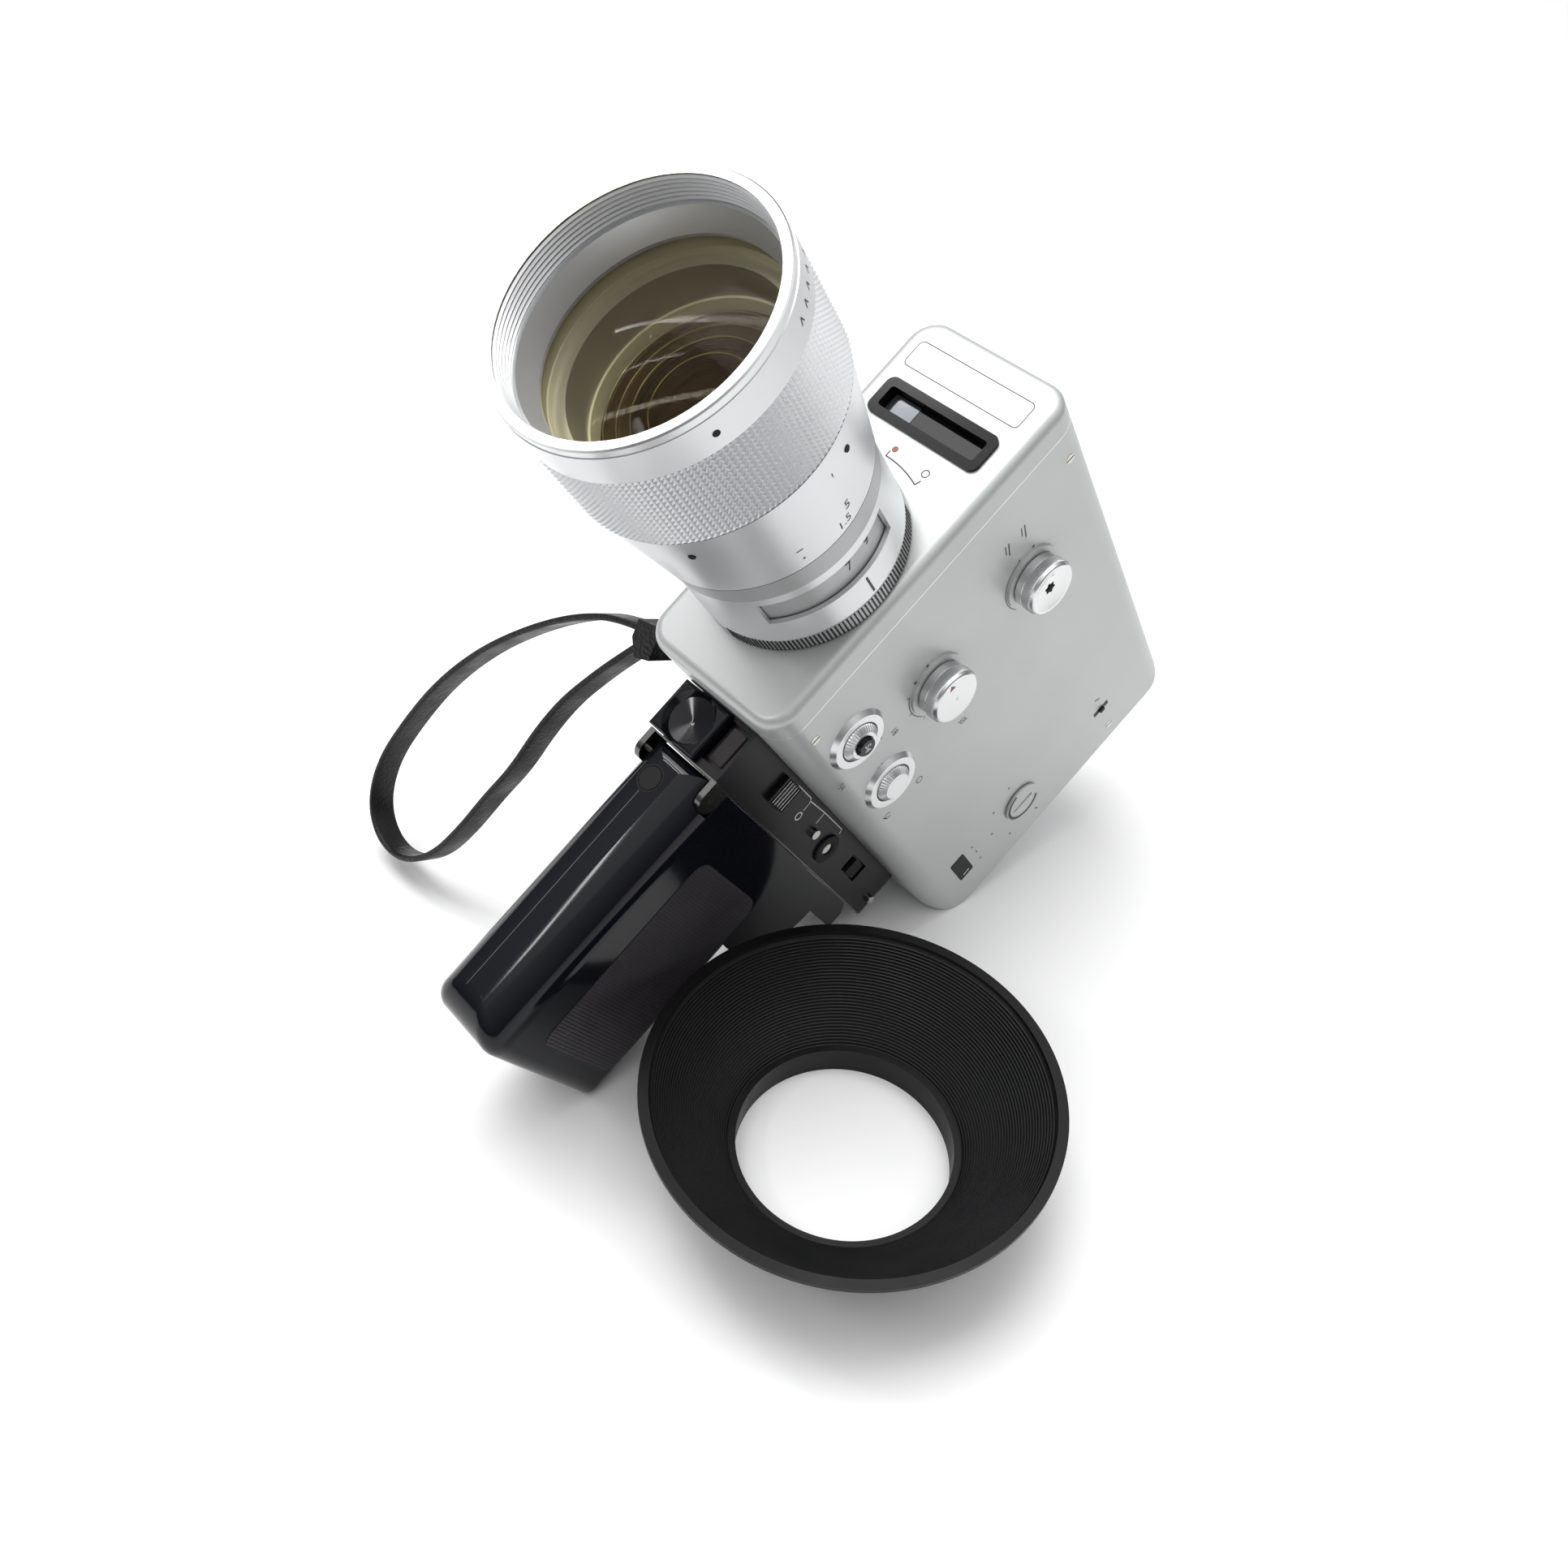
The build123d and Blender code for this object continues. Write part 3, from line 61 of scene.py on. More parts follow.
def frame_matrix(origin, x_dir, y_dir, z_dir):
    """Takes millimetres along these directions to metres of the row frame."""
    turn = Matrix((x_dir, y_dir, z_dir)).transposed().to_4x4()
    return Matrix.Translation(origin) @ turn @ Matrix.Scale(MM, 4)


CAMERA = frame_matrix(BACK, ACROSS, UPWARD, FORWARD)


def spot(x, y, z):
    return CAMERA @ Vector((x, y, z))


def axes_at(x, y, z):
    """A frame whose z points out of the side of the body."""
    return frame_matrix(spot(x, y, z), -FORWARD, UPWARD, ACROSS)


# ---------------------------------------------------------------- photographer's camera
EYE = spot(234.9, -66.6, 486.7)
FOCAL_LENGTH, SENSOR_WIDTH = 34.55, 36.0
SHIFT_X, SHIFT_Y = -0.0026, -0.0049
SIGHT_RIGHT = (CAMERA.to_3x3() @ Vector((0.6588, 0.6624, -0.3566))).normalized()
SIGHT = (CAMERA.to_3x3() @ Vector((-0.5117, 0.0471, -0.8579))).normalized()
SIGHT_UP = SIGHT_RIGHT.cross(SIGHT).normalized()
lens_data = bpy.data.cameras.new("main_view")
lens_data.lens = FOCAL_LENGTH
lens_data.sensor_width = SENSOR_WIDTH
lens_data.shift_x = SHIFT_X
lens_data.shift_y = SHIFT_Y
lens_data.clip_start = 0.01
viewer = bpy.data.objects.new("main_view", lens_data)
viewer.matrix_world = Matrix.Translation(EYE) @ Matrix(
    (SIGHT_RIGHT, SIGHT_UP, -SIGHT)
).transposed().to_4x4()
bpy.context.scene.collection.objects.link(viewer)
bpy.context.scene.camera = viewer


# ---------------------------------------------------------------- materials
def shader(name, color, rough, metal=0.0, **sockets):
    """A new material, its nodes and links, and its surface shader."""
    material = bpy.data.materials.new(name)
    material.use_nodes = True
    tree = material.node_tree
    surface = tree.nodes["Principled BSDF"]
    surface.inputs["Base Color"].default_value = (*color, 1)
    surface.inputs["Roughness"].default_value = rough
    surface.inputs["Metallic"].default_value = metal
    for socket, value in sockets.items():
        surface.inputs[socket.replace("_", " ")].default_value = value
    return material, tree, surface


def texture(tree, kind, scale, **values):
    """A procedural texture in object coordinates."""
    place = tree.nodes.new("ShaderNodeTexCoord")
    node = tree.nodes.new(kind)
    node.inputs["Scale"].default_value = scale
    for socket, value in values.items():
        node.inputs[socket].default_value = value
    tree.links.new(place.outputs["Object"], node.inputs["Vector"])
    return node


def ramp(tree, source, low, high, start=0.35, end=0.65):
    """Turns a texture's value into one between two greys or colours."""
    node = tree.nodes.new("ShaderNodeValToRGB")
    node.color_ramp.elements[0].position = start
    node.color_ramp.elements[1].position = end
    node.color_ramp.elements[0].color = (*low, 1)
    node.color_ramp.elements[1].color = (*high, 1)
    tree.links.new(source, node.inputs["Fac"])
    return node.outputs["Color"]


def bump(tree, surface, source, strength, depth):
    node = tree.nodes.new("ShaderNodeBump")
    node.inputs["Strength"].default_value = strength
    node.inputs["Distance"].default_value = depth * MM
    tree.links.new(source, node.inputs["Height"])
    tree.links.new(node.outputs["Normal"], surface.inputs["Normal"])


def speckled(
    name, color, rough, metal, grain, strength, depth, mottle=0.02, spread=0.02, **sockets,
):
    """A finish with fine grain, uneven tone and uneven gloss."""
    material, tree, surface = shader(name, color, rough, metal, **sockets)
    cloud = texture(tree, "ShaderNodeTexNoise", 25.0, Detail=3.0, Roughness=0.5)
    low = [max(0.0, c - mottle) for c in color]
    high = [min(1.0, c + mottle) for c in color]
    tree.links.new(ramp(tree, cloud.outputs["Fac"], low, high), surface.inputs["Base Color"])
    wear = texture(tree, "ShaderNodeTexNoise", 40.0, Detail=3.0, Roughness=0.4)
    gloss = ramp(tree, wear.outputs["Fac"], [rough - spread] * 3, [rough + spread] * 3, 0.2, 0.8)
    tree.links.new(gloss, surface.inputs["Roughness"])
    fine = texture(tree, "ShaderNodeTexNoise", grain, Detail=2.0)
    bump(tree, surface, fine.outputs["Fac"], strength, depth)
    return material


SILVER = speckled("silver_lacquer", (0.50, 0.515, 0.51), 0.38, 0.35, 3200.0, 0.2, 0.04, 0.012)
TURNED = speckled("turned_aluminium", (0.70, 0.71, 0.72), 0.36, 0.7, 2600.0, 0.15, 0.02, 0.01)
BRIGHT = speckled("bright_aluminium", (0.66, 0.67, 0.67), 0.27, 1.0, 1800.0, 0.1, 0.02, 0.01, 0.01)
SATIN_BAND = speckled("satin_band", (0.42, 0.43, 0.43), 0.42, 0.6, 2600.0, 0.15, 0.03, 0.01)
PLATE_WHITE = speckled("plate_white", (0.78, 0.79, 0.79), 0.34, 0.1, 2600.0, 0.1, 0.02, 0.01)
DARK_CHROME = speckled("dark_chrome", (0.13, 0.13, 0.125), 0.22, 1.0, 900.0, 0.1, 0.02, 0.01)
CHROME = speckled("chrome_plate", (0.55, 0.54, 0.50), 0.14, 1.0, 900.0, 0.1, 0.02, 0.01, 0.02)
BEZEL_BLACK = speckled(
    "bezel_black", (0.003, 0.003, 0.004), 0.14, 0.0, 400.0, 0.06, 0.05, 0.001, Specular_IOR_Level=0.1,
)
GLOSS_BLACK = speckled(
    "gloss_black", (0.004, 0.0045, 0.007), 0.10, 0.0, 400.0, 0.06, 0.05, 0.001, Specular_IOR_Level=0.3,
)
SATIN_BLACK = speckled(
    "satin_black", (0.007, 0.007, 0.008), 0.32, 0.0, 1500.0, 0.2, 0.05, 0.002, Specular_IOR_Level=0.2,
)
MATTE_BLACK = speckled(
    "matte_black", (0.007, 0.007, 0.008), 0.55, 0.0, 2200.0, 0.3, 0.05, 0.002, Specular_IOR_Level=0.2,
)
BLOCK_BLACK = speckled(
    "block_black", (0.007, 0.0055, 0.0075), 0.30, 0.0, 1200.0, 0.2, 0.05, 0.002, Specular_IOR_Level=0.2,
)
RUBBER = speckled("eyecup_rubber", (0.02, 0.02, 0.02), 0.65, 0.0, 1500.0, 0.3, 0.08, 0.006)
BRASS = speckled("brass", (0.62, 0.46, 0.20), 0.30, 1.0, 1200.0, 0.1, 0.03)
BOARD = speckled("circuit_board", (0.03, 0.14, 0.06), 0.45, 0.0, 800.0, 0.1, 0.05, 0.01)
CELL_CAN = speckled("cell_can", (0.40, 0.07, 0.04), 0.30, 0.3, 900.0, 0.1, 0.03)
DARK_INK = speckled("dark_ink", (0.035, 0.035, 0.038), 0.5, 0.0, 2500.0, 0.1, 0.01, 0.01)
GREY_INK = speckled("grey_ink", (0.07, 0.07, 0.068), 0.5, 0.0, 2500.0, 0.1, 0.01, 0.02)
RED_INK = speckled("red_ink", (0.25, 0.035, 0.01), 0.4, 0.0, 2500.0, 0.1, 0.01, 0.03)
WHITE_INK = speckled("white_ink", (0.75, 0.75, 0.76), 0.45, 0.0, 2500.0, 0.1, 0.01, 0.03)


def hood_lacquer():
    """Satin black lacquer with a greyish bloom and fine grain."""
    material, tree, surface = shader("hood_lacquer", (0.01, 0.01, 0.011), 0.42, Specular_IOR_Level=0.22)
    bloom = texture(tree, "ShaderNodeTexNoise", 35.0, Detail=7.0, Roughness=0.65)
    colour = ramp(tree, bloom.outputs["Fac"], (0.0025, 0.0025, 0.003), (0.006, 0.006, 0.0065), 0.3, 0.75)
    tree.links.new(colour, surface.inputs["Base Color"])
    gloss = ramp(tree, bloom.outputs["Fac"], (0.36,) * 3, (0.52,) * 3)
    tree.links.new(gloss, surface.inputs["Roughness"])
    grain = texture(tree, "ShaderNodeTexNoise", 1600.0, Detail=3.0)
    bump(tree, surface, grain.outputs["Fac"], 0.35, 0.06)
    return material


def strap_leather():
    """Black leather: grain cells, a soft sheen and lighter rubbed spots."""
    material, tree, surface = shader("strap_leather", (0.01, 0.009, 0.01), 0.42, Specular_IOR_Level=0.3)
    cells = texture(tree, "ShaderNodeTexVoronoi", 900.0)
    rub = texture(tree, "ShaderNodeTexNoise", 90.0, Detail=6.0)
    colour = ramp(tree, rub.outputs["Fac"], (0.003, 0.0027, 0.003), (0.007, 0.0065, 0.007))
    tree.links.new(colour, surface.inputs["Base Color"])
    tree.links.new(ramp(tree, rub.outputs["Fac"], (0.34,) * 3, (0.55,) * 3), surface.inputs["Roughness"])
    bump(tree, surface, cells.outputs["Distance"], 0.5, 0.25)
    return material


def coated_glass(name, tint, body, clear=0.9):
    """Glass with a coating: clear and tinted face on, a mirror at a slant, with a dark body."""
    material, tree, surface = shader(name, body, 0.02, 0.0)
    smear = texture(tree, "ShaderNodeTexNoise", 40.0, Detail=5.0)
    tree.links.new(
        ramp(tree, smear.outputs["Fac"], (0.01,) * 3, (0.05,) * 3), surface.inputs["Roughness"],
    )
    through = tree.nodes.new("ShaderNodeBsdfTransparent")
    through.inputs["Color"].default_value = (*tint, 1)
    slant = tree.nodes.new("ShaderNodeLayerWeight")
    mix = tree.nodes.new("ShaderNodeMixShader")
    tree.links.new(
        ramp(tree, slant.outputs["Facing"], (1 - clear,) * 3, (0.8,) * 3, 0.35, 1.0), mix.inputs["Fac"],
    )
    tree.links.new(through.outputs["BSDF"], mix.inputs[1])
    tree.links.new(surface.outputs["BSDF"], mix.inputs[2])
    tree.links.new(mix.outputs["Shader"], tree.nodes["Material Output"].inputs["Surface"])
    return material


LEAN = asin(-FORWARD.y)
WAVE_SCALE = tau / 20  # a wave texture of scale 1 repeats at this length


def checkered(name, color, pitch):
    """Moulded panel of small pyramids, given by crossed waves."""
    material, tree, surface = shader(name, color, 0.40, 0.0)
    heights = []
    for direction in ("Y", "Z"):
        wave = texture(tree, "ShaderNodeTexWave", WAVE_SCALE / (pitch * MM))
        wave.bands_direction = direction
        lean = tree.nodes.new("ShaderNodeMapping")
        lean.inputs["Rotation"].default_value = (-LEAN, 0, 0)
        source = wave.inputs["Vector"].links[0].from_socket
        tree.links.new(source, lean.inputs["Vector"])
        tree.links.new(lean.outputs["Vector"], wave.inputs["Vector"])
        heights.append(wave.outputs["Fac"])
    both = tree.nodes.new("ShaderNodeMath")
    both.operation = "MULTIPLY"
    for number, height in enumerate(heights):
        tree.links.new(height, both.inputs[number])
    bump(tree, surface, both.outputs["Value"], 0.6, 0.25)
    tone = texture(tree, "ShaderNodeTexNoise", 70.0, Detail=5.0)
    low = [c * 0.7 for c in color]
    high = [c * 1.5 for c in color]
    tree.links.new(ramp(tree, tone.outputs["Fac"], low, high), surface.inputs["Base Color"])
    return material


HOOD = hood_lacquer()
LEATHER = strap_leather()
LENS_GLASS = coated_glass("lens_coating", (0.97, 0.95, 0.87), (0.05, 0.035, 0.02), 0.93)
INNER_GLASS = coated_glass("inner_coating", (0.34, 0.25, 0.15), (0.06, 0.04, 0.02), 0.75)
PANE = coated_glass("window_pane", (0.10, 0.10, 0.12), (0.006, 0.006, 0.008), 0.5)
GRIP_PANEL = checkered("grip_panel", (0.014, 0.011, 0.015), 1.1)

CAD_FINISH = {
    "main_casing": SILVER, "front_cover": SILVER, "film_door": SILVER, "nameplate": PLATE_WHITE,
    "window_bezel": BEZEL_BLACK, "windows": PANE, "film_door_pin": CHROME, "chassis_plate": TURNED,
    "film_gate": MATTE_BLACK, "drive_motor": TURNED, "circuit_board": BOARD, "finder_tube": MATTE_BLACK,
    "eyecup": RUBBER, "knob_scales": SILVER, "dial_plates": BRIGHT, "casing_screws": CHROME,
    "scale_sleeve": TURNED, "index_band": SATIN_BAND, "second_lens": INNER_GLASS,
    "rear_lens": INNER_GLASS, "iris_plate": MATTE_BLACK, "trigger_block": BLOCK_BLACK, "sockets": CHROME,
    "grip_bracket": DARK_CHROME, "grip_hinge_pin": CHROME, "strap_tab": LEATHER, "shutter": MATTE_BLACK,
    "shutter_wheel": BRASS, "motor_pinion": BRASS, "film_spindle": MATTE_BLACK, "diopter_ring": SATIN_BLACK,
    "speed_button": GLOSS_BLACK,
    "counter_dial": SILVER, "slot_slider": MATTE_BLACK, "zoom_ring": SATIN_BAND,
    "focus_barrel": TURNED, "name_ring": TURNED, "filter_ring": BRIGHT,
    "front_lens": LENS_GLASS, "lens_screws": MATTE_BLACK, "trigger": GLOSS_BLACK,
    "slide_switch": SATIN_BLACK, "remote_switch": MATTE_BLACK, "latch_button": CHROME,
    "grip_shell_left": GLOSS_BLACK, "grip_shell_right": GLOSS_BLACK, "tripod_bush": BRASS,
    "battery_cells": CELL_CAN, "battery_contacts": BRASS, "battery_cover": GLOSS_BLACK,
    "release_button": MATTE_BLACK, "lens_hood": HOOD,
}
for node, finish in CAD_FINISH.items():
    nodes[node].data.materials.clear()
    nodes[node].data.materials.append(finish)


# ---------------------------------------------------------------- making pieces
LEVEL = 1e-6  # points no further apart than this are at one height


def piece(name, mesh, body, material, slot, smooth=35.0):
    """An object from a mesh that is already in the row frame, riding on a body."""
    thing = bpy.data.objects.new(name, mesh)
    bpy.context.scene.collection.objects.link(thing)
    mesh.materials.append(material)
    for face in mesh.polygons:
        face.use_smooth = True
    mesh.set_sharp_from_angle(angle=radians(smooth))
    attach(thing, body)
    return thing


def shape(name, points, faces, body, material, slot, place=CAMERA, smooth=35.0):
    """A piece from points in millimetres of a frame."""
    mesh = bpy.data.meshes.new(name)
    mesh.from_pydata([place @ Vector(p) for p in points], [], faces)
    mesh.validate()
    return piece(name, mesh, body, material, slot, smooth)


def lathe(
    name, outline, body, material, slot, place=CAMERA, count=160, relief=None, smooth=35.0,
):
    """Turns a closed outline of (radius, z) about z; relief(angle, r, z) may change each radius."""
    points = []
    for step in range(count):
        angle = tau * step / count
        for r, z in outline:
            radius = r + (relief(angle, r, z) if relief else 0.0)
            points.append((radius * cos(angle), radius * sin(angle), z))
    size = len(outline)
    faces = []
    for step in range(count):
        after = (step + 1) % count
        for k in range(size):
            nxt = (k + 1) % size
            near, far = step * size, after * size
            faces.append((near + k, far + k, far + nxt, near + nxt))
    return shape(name, points, faces, body, material, slot, place, smooth)


def slab(name, outline, low, high, edge, body, material, slot, place=CAMERA):
    """A flat plate with this outline, its top edges eased by edge."""
    form = bmesh.new()
    ring = [form.verts.new((x, y, low)) for x, y in outline]
    base = form.faces.new(ring)
    raised = bmesh.ops.extrude_face_region(form, geom=[base])
    verts = [v for v in raised["geom"] if isinstance(v, bmesh.types.BMVert)]
    bmesh.ops.translate(form, vec=(0, 0, high - low), verts=verts)
    rim = [e for e in form.edges if all(abs(v.co.z - high) < LEVEL for v in e.verts)]
    bmesh.ops.bevel(form, geom=rim, offset=edge, segments=3, affect="EDGES")
    bmesh.ops.recalc_face_normals(form, faces=form.faces)
    form.transform(place)
    mesh = bpy.data.meshes.new(name)
    form.to_mesh(mesh)
    form.free()
    return piece(name, mesh, body, material, slot)


def rounded(width, height, corner, centre=(0, 0), steps=8):
    """Points round a rounded rectangle."""
    points = []
    for quarter, (sx, sy) in enumerate(((1, 1), (-1, 1), (-1, -1), (1, -1))):
        cx = centre[0] + sx * (width / 2 - corner)
        cy = centre[1] + sy * (height / 2 - corner)
        for step in range(steps + 1):
            angle = pi / 2 * (quarter + step / steps)
            points.append((cx + corner * cos(angle), cy + corner * sin(angle)))
    return points


# ---------------------------------------------------------------- wrist strap
# Its route lies in one upright plane through the tab: across the camera, and down its side.
STRAP_DOWN = -0.8514 * UPWARD - 0.5245 * FORWARD
STRAP_START = spot(-22.8, -41, 152)
STRAP_FLAT = ACROSS.cross(STRAP_DOWN).normalized()
STRAP_WIDE, STRAP_THICK, STRAP_CORNER = 9.0, 2.0, 0.7
STRAP_ROUTE = [
    (-9.2, 0.4), (-18.0, 2.6), (-29.0, 8.0), (-41.0, 16.5), (-54.0, 28.0), (-68.0, 43.0), (-81.0, 62.0),
    (-90.0, 82.0), (-96.5, 102.0), (-95.0, 118.0), (-85.0, 126.5), (-71.0, 126.0), (-58.0, 115.0),
    (-49.5, 98.0), (-43.5, 81.5), (-37.0, 67.0), (-32.5, 50.0), (-27.0, 36.0), (-20.5, 25.0),
    (-14.0, 15.0), (-7.4, 5.9),
]


def spline_points(route, resolution=8):
    """Points along the smooth line that a route of points in metres stands for."""
    curve = bpy.data.curves.new("route", "CURVE")
    curve.dimensions = "3D"
    curve.resolution_u = resolution
    spline = curve.splines.new("NURBS")
    spline.points.add(len(route) - 1)
    for point, place in zip(spline.points, route):
        point.co = (*place, 1)
    spline.order_u = 3
    spline.use_endpoint_u = True
    holder = bpy.data.objects.new("route", curve)
    mesh = bpy.data.meshes.new_from_object(holder)
    points = [v.co.copy() for v in mesh.vertices]
    bpy.data.objects.remove(holder)
    bpy.data.curves.remove(curve)
    bpy.data.meshes.remove(mesh)
    return points


def strap_ribbon():
    route = [STRAP_START + (ACROSS * u + STRAP_DOWN * v) * MM for u, v in STRAP_ROUTE]
    line_points = spline_points(route)
    section = rounded(STRAP_WIDE, STRAP_THICK, STRAP_CORNER, steps=3)
    points = []
    for number, place in enumerate(line_points):
        before = line_points[max(0, number - 1)]
        after = line_points[min(len(line_points) - 1, number + 1)]
        along = (after - before).normalized()
        out = along.cross(STRAP_FLAT).normalized()
        for a, b in section:
            points.append(place + (STRAP_FLAT * a + out * b) * MM)
    size = len(section)
    faces = [tuple(range(size)), tuple(range(len(points) - size, len(points)))]
    for row in range(len(line_points) - 1):
        for k in range(size):
            nxt = (k + 1) % size
            near, far = row * size, (row + 1) * size
            faces.append((near + k, near + nxt, far + nxt, far + k))
    strap = shape("strap_ribbon", points, faces, "casing", LEATHER, "leather", Matrix())
    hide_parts("wrist_strap")
    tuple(line_points[0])


strap_ribbon()


# ---------------------------------------------------------------- printed marks
def bar(start, end, width):
    along = (Vector(end) - Vector(start)).normalized() * width / 2
    side = Vector((-along.y, along.x))
    return [[Vector(start) - side, Vector(end) - side, Vector(end) + side, Vector(start) + side]]


def line(points, width, closed=False):
    chain = list(points) + ([points[0]] if closed else [])
    return [quad for a, b in zip(chain, chain[1:]) for quad in bar(a, b, width)]


def arc(centre, radius, start, end, steps=24):
    """Points along an arc, in degrees."""
    angles = [radians(start + (end - start) * k / steps) for k in range(steps + 1)]
    return [(centre[0] + radius * cos(a), centre[1] + radius * sin(a)) for a in angles]


def dot(centre, radius):
    return [[Vector(p) for p in arc(centre, radius, 0, 360, 20)[:-1]]]


def words(text, size, at, turn=0.0):
    """Flat outlines of a line of text, centred on a point."""
    curve = bpy.data.curves.new("words", "FONT")
    curve.body = text
    curve.size = size
    curve.align_x = "CENTER"
    curve.align_y = "CENTER"
    holder = bpy.data.objects.new("words", curve)
    mesh = bpy.data.meshes.new_from_object(holder)
    spin = Matrix.Rotation(radians(turn), 2)
    flat = [spin @ Vector(v.co.xy) + Vector(at) for v in mesh.vertices]
    shapes = [[flat[i] for i in face.vertices] for face in mesh.polygons]
    bpy.data.objects.remove(holder)
    bpy.data.curves.remove(curve)
    bpy.data.meshes.remove(mesh)
    return shapes


def printed(name, shapes, body, material, slot, surface):
    """Marks laid on a surface: surface(u, v) gives the camera-frame point of each corner."""
    points = []
    faces = []
    for outline in shapes:
        faces.append(tuple(range(len(points), len(points) + len(outline))))
        points += [surface(p[0], p[1]) for p in outline]
    return shape(name, points, faces, body, material, slot)


BODY_RIGHT, BODY_FRONT = 31.6, 164.5
PRINT = 0.04


def on_side(u, v):
    """Side of the body: u runs towards its back, v up."""
    return (BODY_RIGHT + PRINT, v, -u)


def on_front(u, v):
    return (u, v, BODY_FRONT + PRINT)


# ---------------------------------------------------------------- lens
def pyramid_band(name, rows, columns, low, high, valley, peak, body, material, slot):
    """A turned band covered with small pyramids."""
    points = []
    faces = []
    lining = valley - 2
    for row in range(rows + 1):
        z = low + (high - low) * row / rows
        for column in range(columns):
            angle = tau * column / columns
            points.append((valley * cos(angle), valley * sin(angle), z))
    for row in range(rows):
        z = low + (high - low) * (row + 0.5) / rows
        for column in range(columns):
            angle = tau * (column + 0.5) / columns
            apex = len(points)
            points.append((peak * cos(angle), peak * sin(angle), z))
            near = row * columns + column
            next_one = row * columns + (column + 1) % columns
            for a, b in (
                (near, next_one), (next_one, next_one + columns),
                (next_one + columns, near + columns), (near + columns, near),
            ):
                faces.append((a, b, apex))
    for z, first in ((low, 0), (high, rows * columns)):
        inner = len(points)
        for column in range(columns):
            angle = tau * column / columns
            points.append((lining * cos(angle), lining * sin(angle), z))
        for column in range(columns):
            after = (column + 1) % columns
            faces.append((first + column, first + after, inner + after, inner + column))
    return shape(name, points, faces, body, material, slot, smooth=20.0)


knurl = pyramid_band(
    "grip_knurl", rows=17, columns=150, low=230, high=255.4, valley=35.55, peak=36.35,
    body="focus", material=TURNED, slot="lens_aluminium",
)
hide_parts("focus_grip")

THREAD_LOW, THREAD_HIGH, THREADS = 258.9, 266.4, 6
THREAD_ROOT, THREAD_CREST, THREAD_BACK = 33.45, 33.0, 33.6
pitch = (THREAD_HIGH - THREAD_LOW) / THREADS
thread_outline = []
for turn in range(THREADS):
    z = THREAD_LOW + pitch * turn
    for radius, share in ((THREAD_ROOT, 0), (THREAD_ROOT, 0.15), (THREAD_CREST, 0.5), (THREAD_CREST, 0.65)):
        thread_outline.append((radius, z + share * pitch))
thread_outline += [(THREAD_ROOT, THREAD_HIGH), (THREAD_BACK, THREAD_HIGH), (THREAD_BACK, THREAD_LOW)]
lathe("mouth_threads", thread_outline, "focus", TURNED, "lens_aluminium", smooth=15.0)

# Behind the front glass: a pale stepped wall, then a dark element with fine turned rings.
CELL_WALL = speckled("cell_wall", (0.78, 0.78, 0.66), 0.42, 0.1, 1500.0, 0.1, 0.03, 0.02)
cell = lathe(
    "cell_wall", [
        (33.4, 246.6), (32.6, 249.6), (31.65, 249.8), (31.6, 246.5), (31.2, 246.3), (30.9, 243.2),
        (29.9, 243.0), (29.7, 241.8), (29.2, 241.6), (28.9, 236.2), (28.2, 236.0), (28.0, 233.4),
        (27.5, 233.2), (27.2, 229.0), (26.4, 228.8), (26.4, 227.8), (33.4, 227.8),
    ], "focus", CELL_WALL, "lens_aluminium", count=200, smooth=25.0,
)
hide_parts("front_cell")
tube = lathe(
    "inner_tube", [(24.6, 166), (24.6, 224.5), (24.0, 225.3), (22.4, 225.3), (22.4, 166)],
    "casing", TURNED, "lens_aluminium", count=120,
)
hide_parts("lens_tube")
AMBER = speckled("amber_depth", (0.085, 0.057, 0.030), 0.20, 0.5, 900.0, 0.1, 0.03, 0.02)
RINGS, RING_SPACING = 7, 3.4
ELEMENT_RISE, RIDGE_WIDE, RIDGE_HIGH = 0.9, 0.5, 0.22
element = [(26.9, 228.0), (26.9, 229.4)]
for step in range(RINGS):
    r = 26.0 - RING_SPACING * step
    z = 229.6 + ELEMENT_RISE * sin(pi / 2 * (step + 1) / RINGS)
    element += [(r, z), (r - RIDGE_WIDE / 2, z + RIDGE_HIGH), (r - RIDGE_WIDE, z)]
element += [(0.05, 230.7), (0.05, 228.0)]
lathe("inner_element", element, "focus", AMBER, "lens_glass", count=160, smooth=40.0)

# Thin pale wires over the inner element's rings: painted highlights for the bright arcs of reflection seen
# there.
PAINTED_GLINT = speckled("ring_glint", (0.50, 0.42, 0.27), 0.25, 0.8, 900.0, 0.1, 0.02, 0.01)
WIRE_R = 0.12
for number, (r, z) in enumerate(((25.2, 231.2), (22.0, 230.9), (18.2, 231.3), (13.5, 231.6))):
    wire = [(r, z), (r + WIRE_R, z + WIRE_R), (r, z + 2 * WIRE_R), (r - WIRE_R, z + WIRE_R)]
    lathe(f"painted_glint_ring_{number}", wire, "focus", PAINTED_GLINT, "lens_glass", count=120)

RIB_FROM, RIB_TO, RIBS = -86.0, 53.0, 62  # degrees, and how many between them
RIB_ROOT, RIB_DEPTH = 29.5, 0.75


def zoom_rib(angle, r, z):
    """Teeth on the outside of the zoom ring, over part of its turn."""
    degrees = (angle * 180 / pi + 180) % 360 - 180
    if not RIB_FROM < degrees < RIB_TO or r < RIB_ROOT:
        return 0.0
    share = (degrees - RIB_FROM) / (RIB_TO - RIB_FROM) * RIBS % 1
    return -RIB_DEPTH if share > 0.5 else 0.0


zoom_outline = [
    (28.6, 165.1), (29.75, 165.1), (30.0, 165.4), (30.0, 169.9), (29.75, 170.2), (29.0, 170.55),
    (28.6, 170.55),
]


